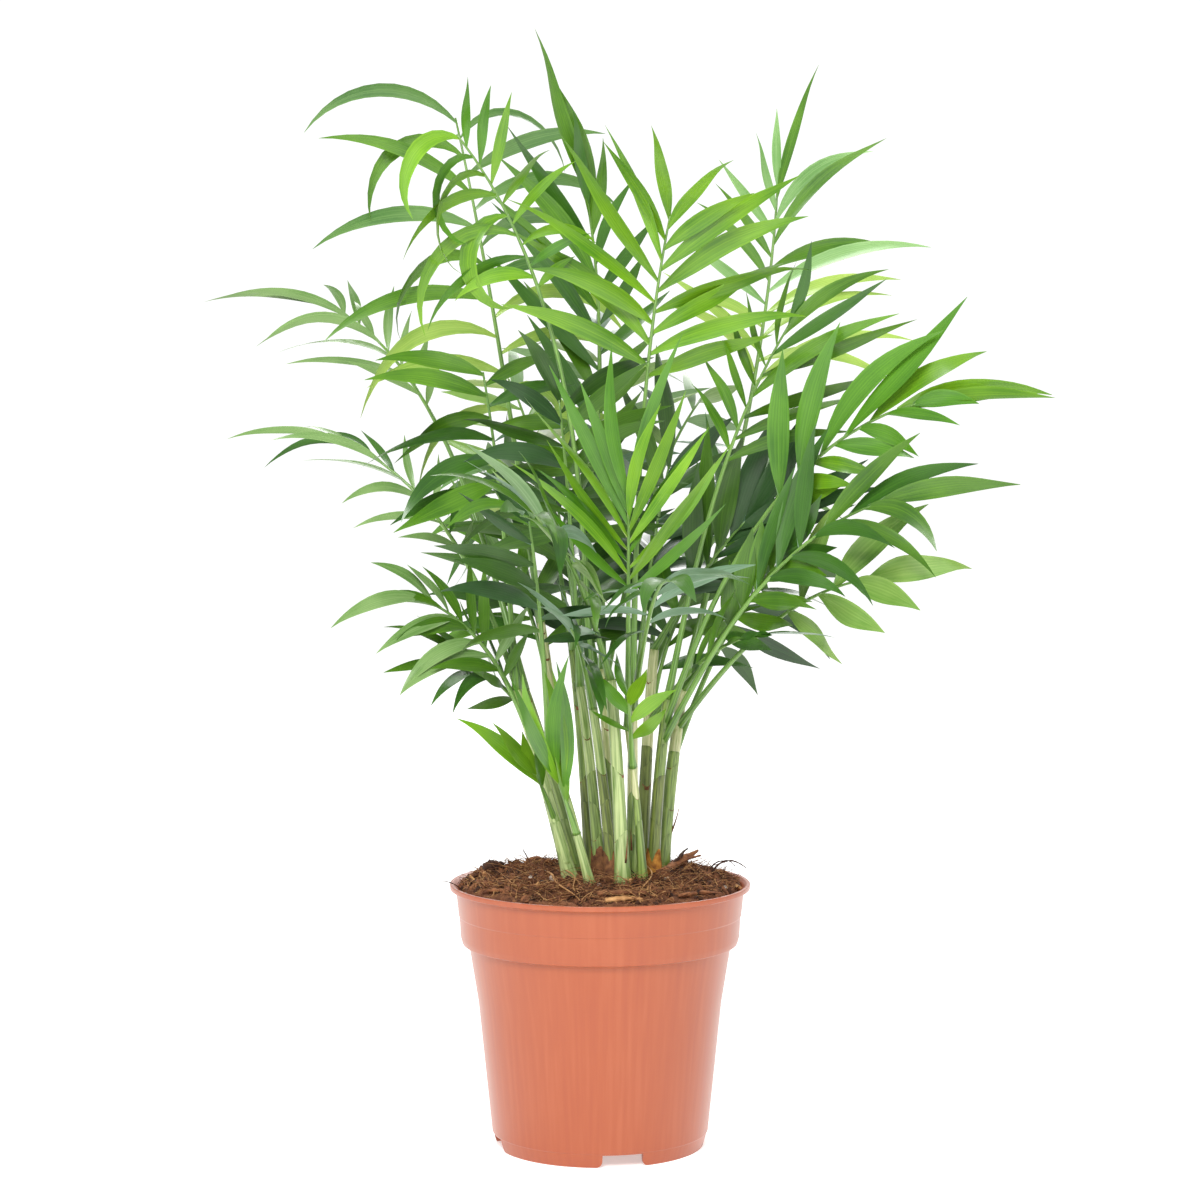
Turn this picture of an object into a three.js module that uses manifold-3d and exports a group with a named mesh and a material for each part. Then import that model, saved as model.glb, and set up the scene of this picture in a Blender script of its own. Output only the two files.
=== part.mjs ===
/**
 * Potted parlour palm: a clump of slender canes with feathery fronds, in a nursery pot that is
 * filled with fibrous compost.
 *
 * Millimetres, +Z up. The origin lies on the pot's axis at the level on which the pot stands, and
 * the front of the plant faces -Y.
 */
import * as THREE from 'three';
import { mergeVertices } from 'three/addons/utils/BufferGeometryUtils.js';
import Module from 'manifold-3d';

const wasm = await Module();
wasm.setup();

const radians = THREE.MathUtils.degToRad;
const UP = new THREE.Vector3(0, 0, 1);

// Air left between two pieces that touch, and the size of edge that a join may drop.
const CLEAR = 0.3;
const SLIVER = 0.01;

// Pot: a tapered cup with a deep band round its top, a thin lip and a notched foot ring.
const POT_HEIGHT = 105.5;
const LIP_RADIUS = 60;
const LIP_DEPTH = 1.9;
const BAND_TOP_RADIUS = 57.6;
const BAND_FOOT_RADIUS = 55.8;
const BAND_FOOT = 84.4;
const BAND_BEVEL = 0.8;
const NECK_RADIUS = 52.4;
const NECK = 80.8;
const WAIST_RADIUS = 48.7;
const WAIST = 58;
const BASE_RADIUS = 43.3;
const FOOT_RADIUS = 41.5;
const FOOT_HEIGHT = 5.5;
const FOOT_WALL = 1.6;
const WALL = 1.3;
const POT_SIDES = 40;
const NOTCH_COUNT = 4;
const NOTCH_START = -77.7;
const NOTCH_WIDTH = 16.2;
const NOTCH_HEIGHT = 5.2;
const NOTCH_CORNER = 2.5;
const NOTCH_REACH = 5;
const DRAIN_COUNT = 6;
const DRAIN_RADIUS = 3.5;
const DRAIN_CIRCLE = 30;
const DRAIN_SIDES = 8;

// Compost: it fills the pot and is heaped a little above the lip, flat where the canes stand.
const HEAP_HEIGHT = 108.5;
const HEAP_FLAT_RADIUS = 35;
const HEAP_EDGE = 104.2;
const HEAP_SHOULDER = 0.8;
const HEAP_BUMP = 0.55;

// Canes: each stands on the compost at `foot`, ends at `top` and is `girth` in radius above its
// swollen base.
const CANE_BEND = 4;
const CANE_SIDES = 6;
const CANE_SHARES = [0, 0.08, 0.18, 0.55, 1];
const CANE_FLARE = 1.35;
const CANE_FLARE_FALL = 14;
const CANE_TOP = 0.82;
const CANES = [
  { foot: [-12, -6], top: [-33, -12, 184], girth: 2.4 },
  { foot: [-8, 6], top: [-30, 6, 182], girth: 2.2 },
  { foot: [-12, 19], top: [-24, 24, 208], girth: 2.0 },
  { foot: [-4, -22], top: [-20, -25, 165], girth: 1.7 },
  { foot: [-4, 15], top: [-11, 20, 197], girth: 2.1 },
  { foot: [0, 3], top: [-8, 4, 184], girth: 2.2 },
  { foot: [5, -9], top: [-4, -10, 184], girth: 2.1 },
  { foot: [9, -18], top: [4, -22, 189], girth: 2.7 },
  { foot: [13, -1], top: [13, -3, 183], girth: 2.2 },
  { foot: [17, 20], top: [22, 24, 197], girth: 2.4 },
  { foot: [21, 2], top: [27, 1, 179], girth: 2.4 },
  { foot: [25, 13], top: [34, 15, 185], girth: 2.5 },
  { foot: [17, -12], top: [11, -17, 169], girth: 1.6 },
  { foot: [5, 25], top: [1, 34, 188], girth: 2.2 },
];

// Fronds: each leaves its `cane` at the share `from` of the cane's height, and its stalk bends over
// by `bend` degrees on the way to `tip`. Leaflets stand in `pairs` beyond the share `bare`. They are
// up to `reach` long, times their side's share in `hands` and the share in `ends` at the first and
// the last, `width` wide, and stand off the stalk at the first and the last angle of `spread`.
// `facing` is where the upper side looks, as azimuth and elevation, `lift` raises the leaflets out
// of the frond's plane, and they arch over by `droop` degrees, less the steeper they stand.
const STALK_RADIUS = 1.7;
const STALK_TIP_RADIUS = 0.55;
const STALK_SIDES = 3;
const STALK_BARE_STEPS = 3;
const FRONDS = [
  { cane: 2, from: 1, tip: [-59, 45, 413], bend: 5, bare: 0.385, pairs: 9, reach: 78,
    width: 7, spread: [64, 44], hands: [0.85, 1.0], ends: [0.85, 0.85],
    facing: [-65, 0], lift: 0.14, droop: 115, tone: 'pale' },
  { cane: 6, from: 1, tip: [-54, -50, 398], bend: 44, bare: 0.7, pairs: 8, reach: 56,
    width: 6.2, spread: [56, 34], hands: [0.58, 1.05], ends: [0.7, 0.95],
    facing: [-80, 20], lift: 0.1, droop: 120, tone: 'fresh' },
  { cane: 4, from: 1, tip: [-6, 25, 383], bend: -26, bare: 0.45, pairs: 9, reach: 64,
    width: 7.5, spread: [42, 3], hands: [0.55, 1.0], ends: [0.8, 1.1],
    facing: [-80, 5], lift: 0.1, droop: 10, tone: 'mature' },
  { cane: 8, from: 1, tip: [27, -32, 369], bend: 22, bare: 0.66, pairs: 8, reach: 66,
    width: 8.0, spread: [54, 14], hands: [1.05, 1.02], ends: [0.85, 0.54],
    facing: [-90, 15], lift: 0.12, droop: 32, tone: 'fresh' },
  { cane: 12, from: 1, tip: [11, -42, 260], bend: 2, bare: 0.6, pairs: 8, reach: 62,
    width: 5.5, spread: [40, 5], hands: [1, 1], ends: [0.8, 1],
    facing: [-90, 5], lift: 0.1, droop: 6, tone: 'fresh' },
  { cane: 11, from: 1, tip: [73, 50, 387], bend: -16, bare: 0.6, pairs: 9, reach: 62,
    width: 5.8, spread: [52, 6], hands: [1.08, 0.75], ends: [0.95, 0.75],
    facing: [-80, 0], lift: 0.1, droop: 60, tone: 'pale' },
  { cane: 10, from: 1, tip: [74, -22, 328], bend: 22, bare: 0.62, pairs: 7, reach: 58,
    width: 6, spread: [46, 10], hands: [1.05, 0.6], ends: [0.85, 0.9],
    facing: [-90, 20], lift: 0.1, droop: 18, tone: 'mature' },
  { cane: 1, from: 1, tip: [-121, 108, 339], bend: 58, bare: 0.6, pairs: 8, reach: 52,
    width: 5.5, spread: [38, 6], hands: [0.55, 1.05], ends: [0.6, 1.0],
    facing: [-90, 40], lift: 0.3, droop: 58, tone: 'mature' },
  { cane: 0, from: 1, tip: [-46, -8, 309], bend: 6, bare: 0.55, pairs: 7, reach: 60,
    width: 8, spread: [84, 64], hands: [0.7, 1.0], ends: [0.8, 0.9],
    facing: [-60, 20], lift: 0.1, droop: 40, tone: 'mature' },
  { cane: 0, from: 0.78, tip: [-106, 10, 283], bend: 54, bare: 0.5, pairs: 7, reach: 44,
    width: 4.6, spread: [34, 8], hands: [0.6, 1.0], ends: [0.6, 0.9],
    facing: [-80, 50], lift: 0.2, droop: 50, tone: 'mature' },
  { cane: 10, from: 0.84, tip: [126, -45, 298], bend: 58, bare: 0.56, pairs: 7, reach: 62,
    width: 9.0, spread: [34, 6], hands: [0.55, 1.05], ends: [0.9, 0.85],
    facing: [-100, 20], lift: 0.1, droop: 34, tone: 'fresh' },
  { cane: 10, from: 0.75, tip: [107, -45, 259], bend: 42, bare: 0.5, pairs: 6, reach: 56,
    width: 7.5, spread: [36, 6], hands: [0.8, 1.0], ends: [0.8, 1.0],
    facing: [-90, 30], lift: 0.1, droop: 45, tone: 'mature' },
  { cane: 11, from: 0.75, tip: [105, -32, 229], bend: 42, bare: 0.64, pairs: 3, reach: 48,
    width: 10.5, spread: [50, 8], hands: [0.8, 0.95], ends: [0.85, 1.0],
    facing: [-90, 25], lift: 0.1, droop: 22, tone: 'fresh' },
  { cane: 0, from: 0.7, tip: [-68, -25, 220], bend: 46, bare: 0.4, pairs: 7, reach: 44,
    width: 6.5, spread: [44, 10], hands: [0.7, 1.0], ends: [0.8, 1.0],
    facing: [-90, 45], lift: 0.2, droop: 50, tone: 'mature' },
  { cane: 7, from: 1, tip: [-29, -95, 256], bend: 52, bare: 0.42, pairs: 7, reach: 54,
    width: 7.0, spread: [60, 16], hands: [1, 1], ends: [0.7, 0.9],
    facing: [-90, 50], lift: 0.2, droop: 48, tone: 'mature' },
  { cane: 11, from: 0.95, tip: [73, -20, 238], bend: 6, bare: 0.4, pairs: 5, reach: 34,
    width: 8.5, spread: [42, 14], hands: [1, 1], ends: [0.8, 0.8],
    facing: [-90, 20], lift: 0.1, droop: 15, tone: 'mature' },
  { cane: 9, from: 1, tip: [58, 5, 250], bend: 12, bare: 0.45, pairs: 5, reach: 60,
    width: 9.5, spread: [40, 8], hands: [1, 1], ends: [0.8, 1],
    facing: [-90, 10], lift: 0.1, droop: 10, tone: 'deep' },
  { cane: 5, from: 1, tip: [-16, -15, 298], bend: 8, bare: 0.5, pairs: 7, reach: 48,
    width: 7.5, spread: [66, 16], hands: [1, 1], ends: [0.8, 0.8],
    facing: [-90, 20], lift: 0.2, droop: 50, tone: 'deep' },
  { cane: 3, from: 1, tip: [-27, -48, 252], bend: 14, bare: 0.45, pairs: 6, reach: 42,
    width: 7.0, spread: [62, 14], hands: [1, 1], ends: [0.8, 0.8],
    facing: [-90, 30], lift: 0.2, droop: 40, tone: 'deep' },
  { cane: 1, from: 0.75, tip: [-53, -20, 194], bend: 40, bare: 0.35, pairs: 5, reach: 38,
    width: 5.5, spread: [46, 10], hands: [1, 1.1], ends: [0.8, 1],
    facing: [-90, 55], lift: 0.15, droop: 36, tone: 'mature' },
  { cane: 9, from: 0.66, tip: [63, -16, 206], bend: 42, bare: 0.45, pairs: 6, reach: 38,
    width: 7.0, spread: [32, 8], hands: [0.35, 1], ends: [0.8, 1],
    facing: [-90, 55], lift: 0.1, droop: 10, tone: 'mature' },
  { cane: 12, from: 0.75, tip: [11, -33, 183], bend: 3, bare: 0.4, pairs: 3, reach: 26,
    width: 6.0, spread: [45, 8], hands: [1.1, 0.9], ends: [0.8, 1],
    facing: [-90, 10], lift: 0.1, droop: 12, tone: 'fresh' },
  { cane: 0, from: 0.3, tip: [-25, -24, 152], bend: 4, bare: 0.7, pairs: 2, reach: 60,
    width: 6.5, spread: [16, 6], hands: [0.6, 1.0], ends: [1, 0.8],
    facing: [-90, 10], lift: 0.05, droop: 10, tone: 'fresh' },
  { cane: 6, from: 0.9, tip: [-11, -50, 211], bend: 24, bare: 0.4, pairs: 5, reach: 36,
    width: 7.5, spread: [66, 14], hands: [0.9, 1], ends: [0.8, 0.9],
    facing: [-90, 45], lift: 0.1, droop: 60, tone: 'mature' },
  { cane: 3, from: 0.35, tip: [-17, -30, 152], bend: 3, bare: 0.5, pairs: 4, reach: 60,
    width: 6, spread: [14, 4], hands: [1, 1], ends: [0.8, 1],
    facing: [-90, 5], lift: 0.1, droop: 5, tone: 'fresh' },
  { cane: 8, from: 0.9, tip: [25, -112, 233], bend: 42, bare: 0.42, pairs: 6, reach: 42,
    width: 7.0, spread: [60, 14], hands: [1, 1], ends: [0.8, 0.9],
    facing: [-90, 45], lift: 0.1, droop: 52, tone: 'mature' },
  { cane: 13, from: 1, tip: [0, 102, 328], bend: 30, bare: 0.5, pairs: 7, reach: 52,
    width: 7.0, spread: [60, 18], hands: [1, 1], ends: [0.8, 0.8],
    facing: [90, 30], lift: 0.2, droop: 40, tone: 'mature' },
  { cane: 4, from: 0.85, tip: [-39, 98, 307], bend: 34, bare: 0.5, pairs: 6, reach: 50,
    width: 7.0, spread: [56, 18], hands: [1, 1], ends: [0.8, 0.8],
    facing: [110, 30], lift: 0.2, droop: 40, tone: 'fresh' },
  { cane: 13, from: 0.9, tip: [43, 100, 298], bend: 34, bare: 0.5, pairs: 6, reach: 50,
    width: 7.0, spread: [60, 18], hands: [1, 1], ends: [0.8, 0.8],
    facing: [70, 30], lift: 0.2, droop: 40, tone: 'mature' },
  { cane: 9, from: 0.9, tip: [73, 98, 264], bend: 38, bare: 0.5, pairs: 6, reach: 46,
    width: 7.0, spread: [62, 18], hands: [1, 1], ends: [0.8, 0.8],
    facing: [45, 40], lift: 0.2, droop: 40, tone: 'mature' },
  { cane: 2, from: 0.9, tip: [-47, 95, 262], bend: 36, bare: 0.5, pairs: 6, reach: 44,
    width: 7.0, spread: [62, 18], hands: [1, 1], ends: [0.8, 0.8],
    facing: [135, 40], lift: 0.2, droop: 40, tone: 'mature' },
  { cane: 11, from: 0.6, tip: [76, 75, 226], bend: 38, bare: 0.5, pairs: 5, reach: 44,
    width: 7.0, spread: [62, 18], hands: [1, 1], ends: [0.8, 0.8],
    facing: [20, 40], lift: 0.2, droop: 40, tone: 'deep' },
  { cane: 13, from: 0.75, tip: [-17, 98, 238], bend: 40, bare: 0.5, pairs: 5, reach: 42,
    width: 7.0, spread: [60, 18], hands: [1, 1], ends: [0.8, 0.8],
    facing: [100, 45], lift: 0.2, droop: 44, tone: 'deep' },
  { cane: 9, from: 0.75, tip: [26, 102, 236], bend: 40, bare: 0.5, pairs: 5, reach: 42,
    width: 7.0, spread: [60, 18], hands: [1, 1], ends: [0.8, 0.8],
    facing: [80, 45], lift: 0.2, droop: 44, tone: 'deep' },
  { cane: 5, from: 0.78, tip: [-18, 35, 257], bend: 20, bare: 0.45, pairs: 6, reach: 52,
    width: 8, spread: [58, 14], hands: [1, 1], ends: [0.8, 0.9],
    facing: [-90, 30], lift: 0.15, droop: 40, tone: 'deep' },
  { cane: 8, from: 0.8, tip: [28, 30, 271], bend: 18, bare: 0.5, pairs: 6, reach: 52,
    width: 8, spread: [56, 14], hands: [1, 1], ends: [0.8, 0.9],
    facing: [-90, 30], lift: 0.15, droop: 40, tone: 'deep' },
  { cane: 4, from: 0.8, tip: [-4, 55, 223], bend: 25, bare: 0.4, pairs: 5, reach: 44,
    width: 8, spread: [60, 16], hands: [1, 1], ends: [0.8, 0.9],
    facing: [-90, 35], lift: 0.15, droop: 40, tone: 'deep' },
  { cane: 9, from: 0.5, tip: [37, 30, 218], bend: 30, bare: 0.4, pairs: 5, reach: 44,
    width: 8, spread: [60, 16], hands: [1, 1], ends: [0.8, 0.9],
    facing: [-90, 35], lift: 0.15, droop: 40, tone: 'mature' },
  { cane: 2, from: 0.62, tip: [-39, 42, 232], bend: 30, bare: 0.4, pairs: 5, reach: 44,
    width: 7.5, spread: [60, 16], hands: [1, 1], ends: [0.8, 0.9],
    facing: [-100, 35], lift: 0.15, droop: 40, tone: 'mature' },
];

// Steps in which a limb's bend is added up.
const LIMB_STEPS = 12;

// Leaflets: a folded blade with a keel under its midrib, widest near the middle. The two of a pair
// stand PAIR_SHIFT of a pair's distance apart along the stalk, and the last is rooted at LAST_LEAF of
// the stalk's length.
const LONG_LEAF = 55;
const LONG_STATIONS = [0.25, 0.55, 0.82];
const SHORT_STATIONS = [0.33, 0.74];
const PAIR_SHIFT = 0.45;
const LAST_LEAF = 0.99;
const LEAF_PEAK = 0.4;
const LEAF_FOLD = 0.25;
const LEAF_KEEL = 0.35;

// How far chance turns, lifts, stretches, widens, arches and rolls a leaflet.
const WANDER = { turn: 9, lift: 0.14, length: 0.16, width: 0.14, droop: 0.6, roll: 34 };

// A leaflet that meets another frond is turned and lifted further at each new try.
const LEAF_TRIES = 6;
const TRY_TURN = 5;
const TRY_LIFT = 0.08;
const LEAF_PROBE = 0.4;
const LEAF_LOWEST = 118;

const MATERIALS = {
  pot: new THREE.MeshStandardMaterial({ color: '#d08262', roughness: 0.45, metalness: 0 }),
  compost: new THREE.MeshStandardMaterial({ color: '#5e3a2c', roughness: 0.95, metalness: 0 }),
  cane: new THREE.MeshStandardMaterial({ color: '#9dba78', roughness: 0.55, metalness: 0 }),
  fresh: new THREE.MeshStandardMaterial({ color: '#6fa534', roughness: 0.45, metalness: 0 }),
  mature: new THREE.MeshStandardMaterial({ color: '#4f8a30', roughness: 0.45, metalness: 0 }),
  deep: new THREE.MeshStandardMaterial({ color: '#3b6f35', roughness: 0.45, metalness: 0 }),
  pale: new THREE.MeshStandardMaterial({ color: '#a9cc6b', roughness: 0.45, metalness: 0 }),
};

/** A closed solid made from a closed geometry, ready to be joined or cut. */
function solidOf(geometry) {
  geometry.deleteAttribute('normal');
  geometry.deleteAttribute('uv');
  const merged = mergeVertices(geometry, 1e-4);
  const corners = merged.index.array;
  const triVerts = [];
  for (let i = 0; i < corners.length; i += 3) {
    const [a, b, c] = corners.slice(i, i + 3);
    if (a !== b && b !== c && c !== a) {
      triVerts.push(a, b, c);
    }
  }
  const vertProperties = new Float32Array(merged.attributes.position.array);
  const mesh = new wasm.Mesh({ numProp: 3, vertProperties, triVerts: new Uint32Array(triVerts) });
  return new wasm.Manifold(mesh);
}

/** The largest piece of a solid, without the scraps, slivers and shut-in hollows of a join. */
function largestPiece(solid) {
  const pieces = solid.simplify(SLIVER).decompose();
  return pieces.reduce((best, piece) => (piece.volume() > best.volume() ? piece : best));
}

/** A named mesh of a solid. */
function meshOf(name, solid, material) {
  const { vertProperties, triVerts } = solid.getMesh();
  const geometry = new THREE.BufferGeometry();
  geometry.setAttribute('position', new THREE.BufferAttribute(vertProperties, 3));
  geometry.setIndex(new THREE.BufferAttribute(triVerts, 1));
  geometry.computeVertexNormals();
  const mesh = new THREE.Mesh(geometry, material);
  mesh.name = name;
  return mesh;
}

/** A skin over rings of points, each wound about the way onwards. A ring of one point is a tip. */
function loft(rings) {
  const firsts = [];
  const points = [];
  for (const ring of rings) {
    firsts.push(points.length);
    points.push(...ring);
  }
  const corners = [];
  for (let i = 0; i + 1 < rings.length; i += 1) {
    const here = rings[i].length;
    const next = rings[i + 1].length;
    const around = Math.max(here, next);
    for (let k = 0; k < around; k += 1) {
      const a = firsts[i] + (k % here);
      const b = firsts[i] + ((k + 1) % here);
      const c = firsts[i + 1] + ((k + 1) % next);
      const d = firsts[i + 1] + (k % next);
      if (here > 1) {
        corners.push(a, b, c);
      }
      if (next > 1) {
        corners.push(a, c, d);
      }
    }
  }
  const last = rings.length - 1;
  for (let k = 1; k + 1 < rings[0].length; k += 1) {
    corners.push(firsts[0], firsts[0] + k + 1, firsts[0] + k);
  }
  for (let k = 1; k + 1 < rings[last].length; k += 1) {
    corners.push(firsts[last], firsts[last] + k, firsts[last] + k + 1);
  }
  const geometry = new THREE.BufferGeometry().setFromPoints(points);
  geometry.setIndex(corners);
  return geometry;
}

/** A solid of revolution about +Z from a profile of radius and height pairs. */
function turned(profile, sides) {
  const points = profile.map(([radius, height]) => new THREE.Vector2(radius, height));
  return new THREE.LatheGeometry(points, sides).rotateX(Math.PI / 2);
}

/** The pot's inner profile, from its floor up to the lip, `gap` inside the wall. */
function innerProfile(gap) {
  return [
    [BASE_RADIUS - WALL - gap, FOOT_HEIGHT + WALL + gap],
    [WAIST_RADIUS - WALL - gap, WAIST],
    [NECK_RADIUS - WALL - gap, NECK + gap],
    [BAND_FOOT_RADIUS - WALL - gap, BAND_FOOT + gap],
    [BAND_TOP_RADIUS - WALL - gap, POT_HEIGHT - LIP_DEPTH],
  ];
}

/** One notch of the foot ring, with corners rounded off at the ground. */
function notchSolid(azimuth) {
  const half = NOTCH_WIDTH / 2;
  const outline = new THREE.Shape();
  outline.moveTo(-half - NOTCH_CORNER, -NOTCH_CORNER);
  outline.lineTo(-half - NOTCH_CORNER, 0);
  outline.quadraticCurveTo(-half, 0, -half, NOTCH_CORNER);
  outline.lineTo(-half, NOTCH_HEIGHT);
  outline.lineTo(half, NOTCH_HEIGHT);
  outline.lineTo(half, NOTCH_CORNER);
  outline.quadraticCurveTo(half, 0, half + NOTCH_CORNER, 0);
  outline.lineTo(half + NOTCH_CORNER, -NOTCH_CORNER);
  const options = { depth: 2 * NOTCH_REACH, bevelEnabled: false, curveSegments: 3 };
  const notch = new THREE.ExtrudeGeometry(outline, options);
  notch.translate(0, 0, FOOT_RADIUS - NOTCH_REACH);
  notch.rotateX(Math.PI / 2).rotateZ(Math.PI / 2 + radians(azimuth));
  return solidOf(notch);
}

/** The pot, turned and then cut by its notches and drain holes. */
function potSolid() {
  const inside = innerProfile(0).reverse();
  const profile = [
    [0, FOOT_HEIGHT],
    [FOOT_RADIUS - FOOT_WALL, FOOT_HEIGHT],
    [FOOT_RADIUS - FOOT_WALL, 0],
    [FOOT_RADIUS, 0],
    [BASE_RADIUS, FOOT_HEIGHT],
    [WAIST_RADIUS, WAIST],
    [NECK_RADIUS, NECK],
    [BAND_FOOT_RADIUS - BAND_BEVEL, NECK + BAND_BEVEL],
    [BAND_FOOT_RADIUS, BAND_FOOT],
    [BAND_TOP_RADIUS, POT_HEIGHT - LIP_DEPTH - BAND_BEVEL],
    [LIP_RADIUS, POT_HEIGHT - LIP_DEPTH],
    [LIP_RADIUS, POT_HEIGHT],
    [LIP_RADIUS - WALL, POT_HEIGHT],
    ...inside,
    [0, FOOT_HEIGHT + WALL],
  ];
  let pot = solidOf(turned(profile, POT_SIDES));
  for (let i = 0; i < NOTCH_COUNT; i += 1) {
    pot = pot.subtract(notchSolid(NOTCH_START + (i * 360) / NOTCH_COUNT));
  }
  for (let i = 0; i < DRAIN_COUNT; i += 1) {
    const turn = ((i + 0.5) * 2 * Math.PI) / DRAIN_COUNT;
    const drain = new THREE.CylinderGeometry(DRAIN_RADIUS, DRAIN_RADIUS, 4 * WALL, DRAIN_SIDES);
    drain.rotateX(Math.PI / 2);
    drain.translate(DRAIN_CIRCLE * Math.cos(turn), DRAIN_CIRCLE * Math.sin(turn), FOOT_HEIGHT);
    pot = pot.subtract(solidOf(drain));
  }
  return pot;
}

/** The compost, with a shoulder that is a little uneven all round. */
function compostSolid() {
  const wall = innerProfile(CLEAR);
  const [edge] = wall[wall.length - 1];
  const shoulder = [(edge + HEAP_FLAT_RADIUS) / 2, (HEAP_EDGE + HEAP_HEIGHT) / 2 + HEAP_SHOULDER];
  const profile = [
    [0, wall[0][1]],
    ...wall,
    [edge - 1, HEAP_EDGE],
    shoulder,
    [HEAP_FLAT_RADIUS, HEAP_HEIGHT],
    [0, HEAP_HEIGHT],
  ];
  const heap = turned(profile, POT_SIDES);
  const place = heap.attributes.position;
  for (let i = 0; i < place.count; i += 1) {
    const azimuth = Math.atan2(place.getY(i), place.getX(i));
    const radius = Math.hypot(place.getX(i), place.getY(i));
    if (place.getZ(i) >= HEAP_EDGE && radius > HEAP_FLAT_RADIUS + 1) {
      const bump = Math.sin(5 * azimuth + 1) + Math.sin(11 * azimuth + radius) / 2;
      place.setZ(i, place.getZ(i) + HEAP_BUMP * bump);
    }
  }
  return solidOf(heap);
}

/** A limb between two points that bends over more and more, in the upright plane through both. */
class Limb {
  constructor(start, end, bend) {
    const chord = end.clone().sub(start);
    const heading = Math.atan2(chord.y, chord.x);
    this.start = start;
    this.out = new THREE.Vector3(Math.cos(heading), Math.sin(heading), 0);
    this.side = new THREE.Vector3().crossVectors(UP, this.out);
    this.bend = radians(bend);
    this.lean = 0;
    this.length = 1;
    const trial = this.point(1).sub(start);
    this.length = chord.length() / trial.length();
    this.lean = chord.angleTo(UP) - Math.atan2(trial.dot(this.out), trial.z);
  }

  direction(share) {
    const slope = this.lean + this.bend * share * share;
    return this.out.clone().multiplyScalar(Math.sin(slope)).addScaledVector(UP, Math.cos(slope));
  }

  point(share) {
    const point = this.start.clone();
    const step = (this.length * share) / LIMB_STEPS;
    for (let k = 0; k < LIMB_STEPS; k += 1) {
      point.addScaledVector(this.direction((share * (k + 0.5)) / LIMB_STEPS), step);
    }
    return point;
  }

  /** Solid of the limb with a round section of `sides` flats, `radiusAt(share)` in radius. */
  solid(sides, shares, radiusAt) {
    const rings = shares.map((share) => {
      const normal = this.direction(share).cross(this.side);
      const ring = [];
      for (let k = 0; k < sides; k += 1) {
        const turn = (k * 2 * Math.PI) / sides;
        const point = this.point(share);
        point.addScaledVector(this.side, radiusAt(share) * Math.cos(turn));
        point.addScaledVector(normal, radiusAt(share) * Math.sin(turn));
        ring.push(point);
      }
      return ring;
    });
    return solidOf(loft(rings));
  }
}

/** Cane radius at a share of its height: a swollen base that runs into an even taper. */
function caneRadius(girth, share) {
  const flare = (CANE_FLARE - 1) * Math.exp(-CANE_FLARE_FALL * share);
  return girth * (1 - (1 - CANE_TOP) * share + flare);
}

/** A cane, `grown` thicker all round and cut level just clear of the compost. */
function caneSolid(limb, girth, grown) {
  const solid = limb.solid(CANE_SIDES, CANE_SHARES, (share) => caneRadius(girth, share) + grown);
  return solid.trimByPlane([0, 0, 1], HEAP_HEIGHT + CLEAR);
}

/** Repeatable chance from -1 to 1 for one leaflet of one frond. */
function chance(frond, leaf, purpose) {
  const mixed = Math.sin(frond * 127.1 + leaf * 311.7 + purpose * 74.7) * 43758.5453;
  return 2 * (mixed - Math.floor(mixed)) - 1;
}

/** Share of the full width at a share of a leaflet's length, drawn out towards the tip. */
function leafOutline(share) {
  return Math.sin(Math.PI * share ** 0.85) ** 0.95 * (1 - 0.25 * share ** 3);
}

/** Share of the full reach along a frond: `first` at its lowest leaflet, `last` at its tip. */
function leafSize(along, [first, last]) {
  const end = along < LEAF_PEAK ? first : last;
  const away = along < LEAF_PEAK ? 1 - along / LEAF_PEAK : (along - LEAF_PEAK) / (1 - LEAF_PEAK);
  return 1 + (end - 1) * away ** 1.5;
}

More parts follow.
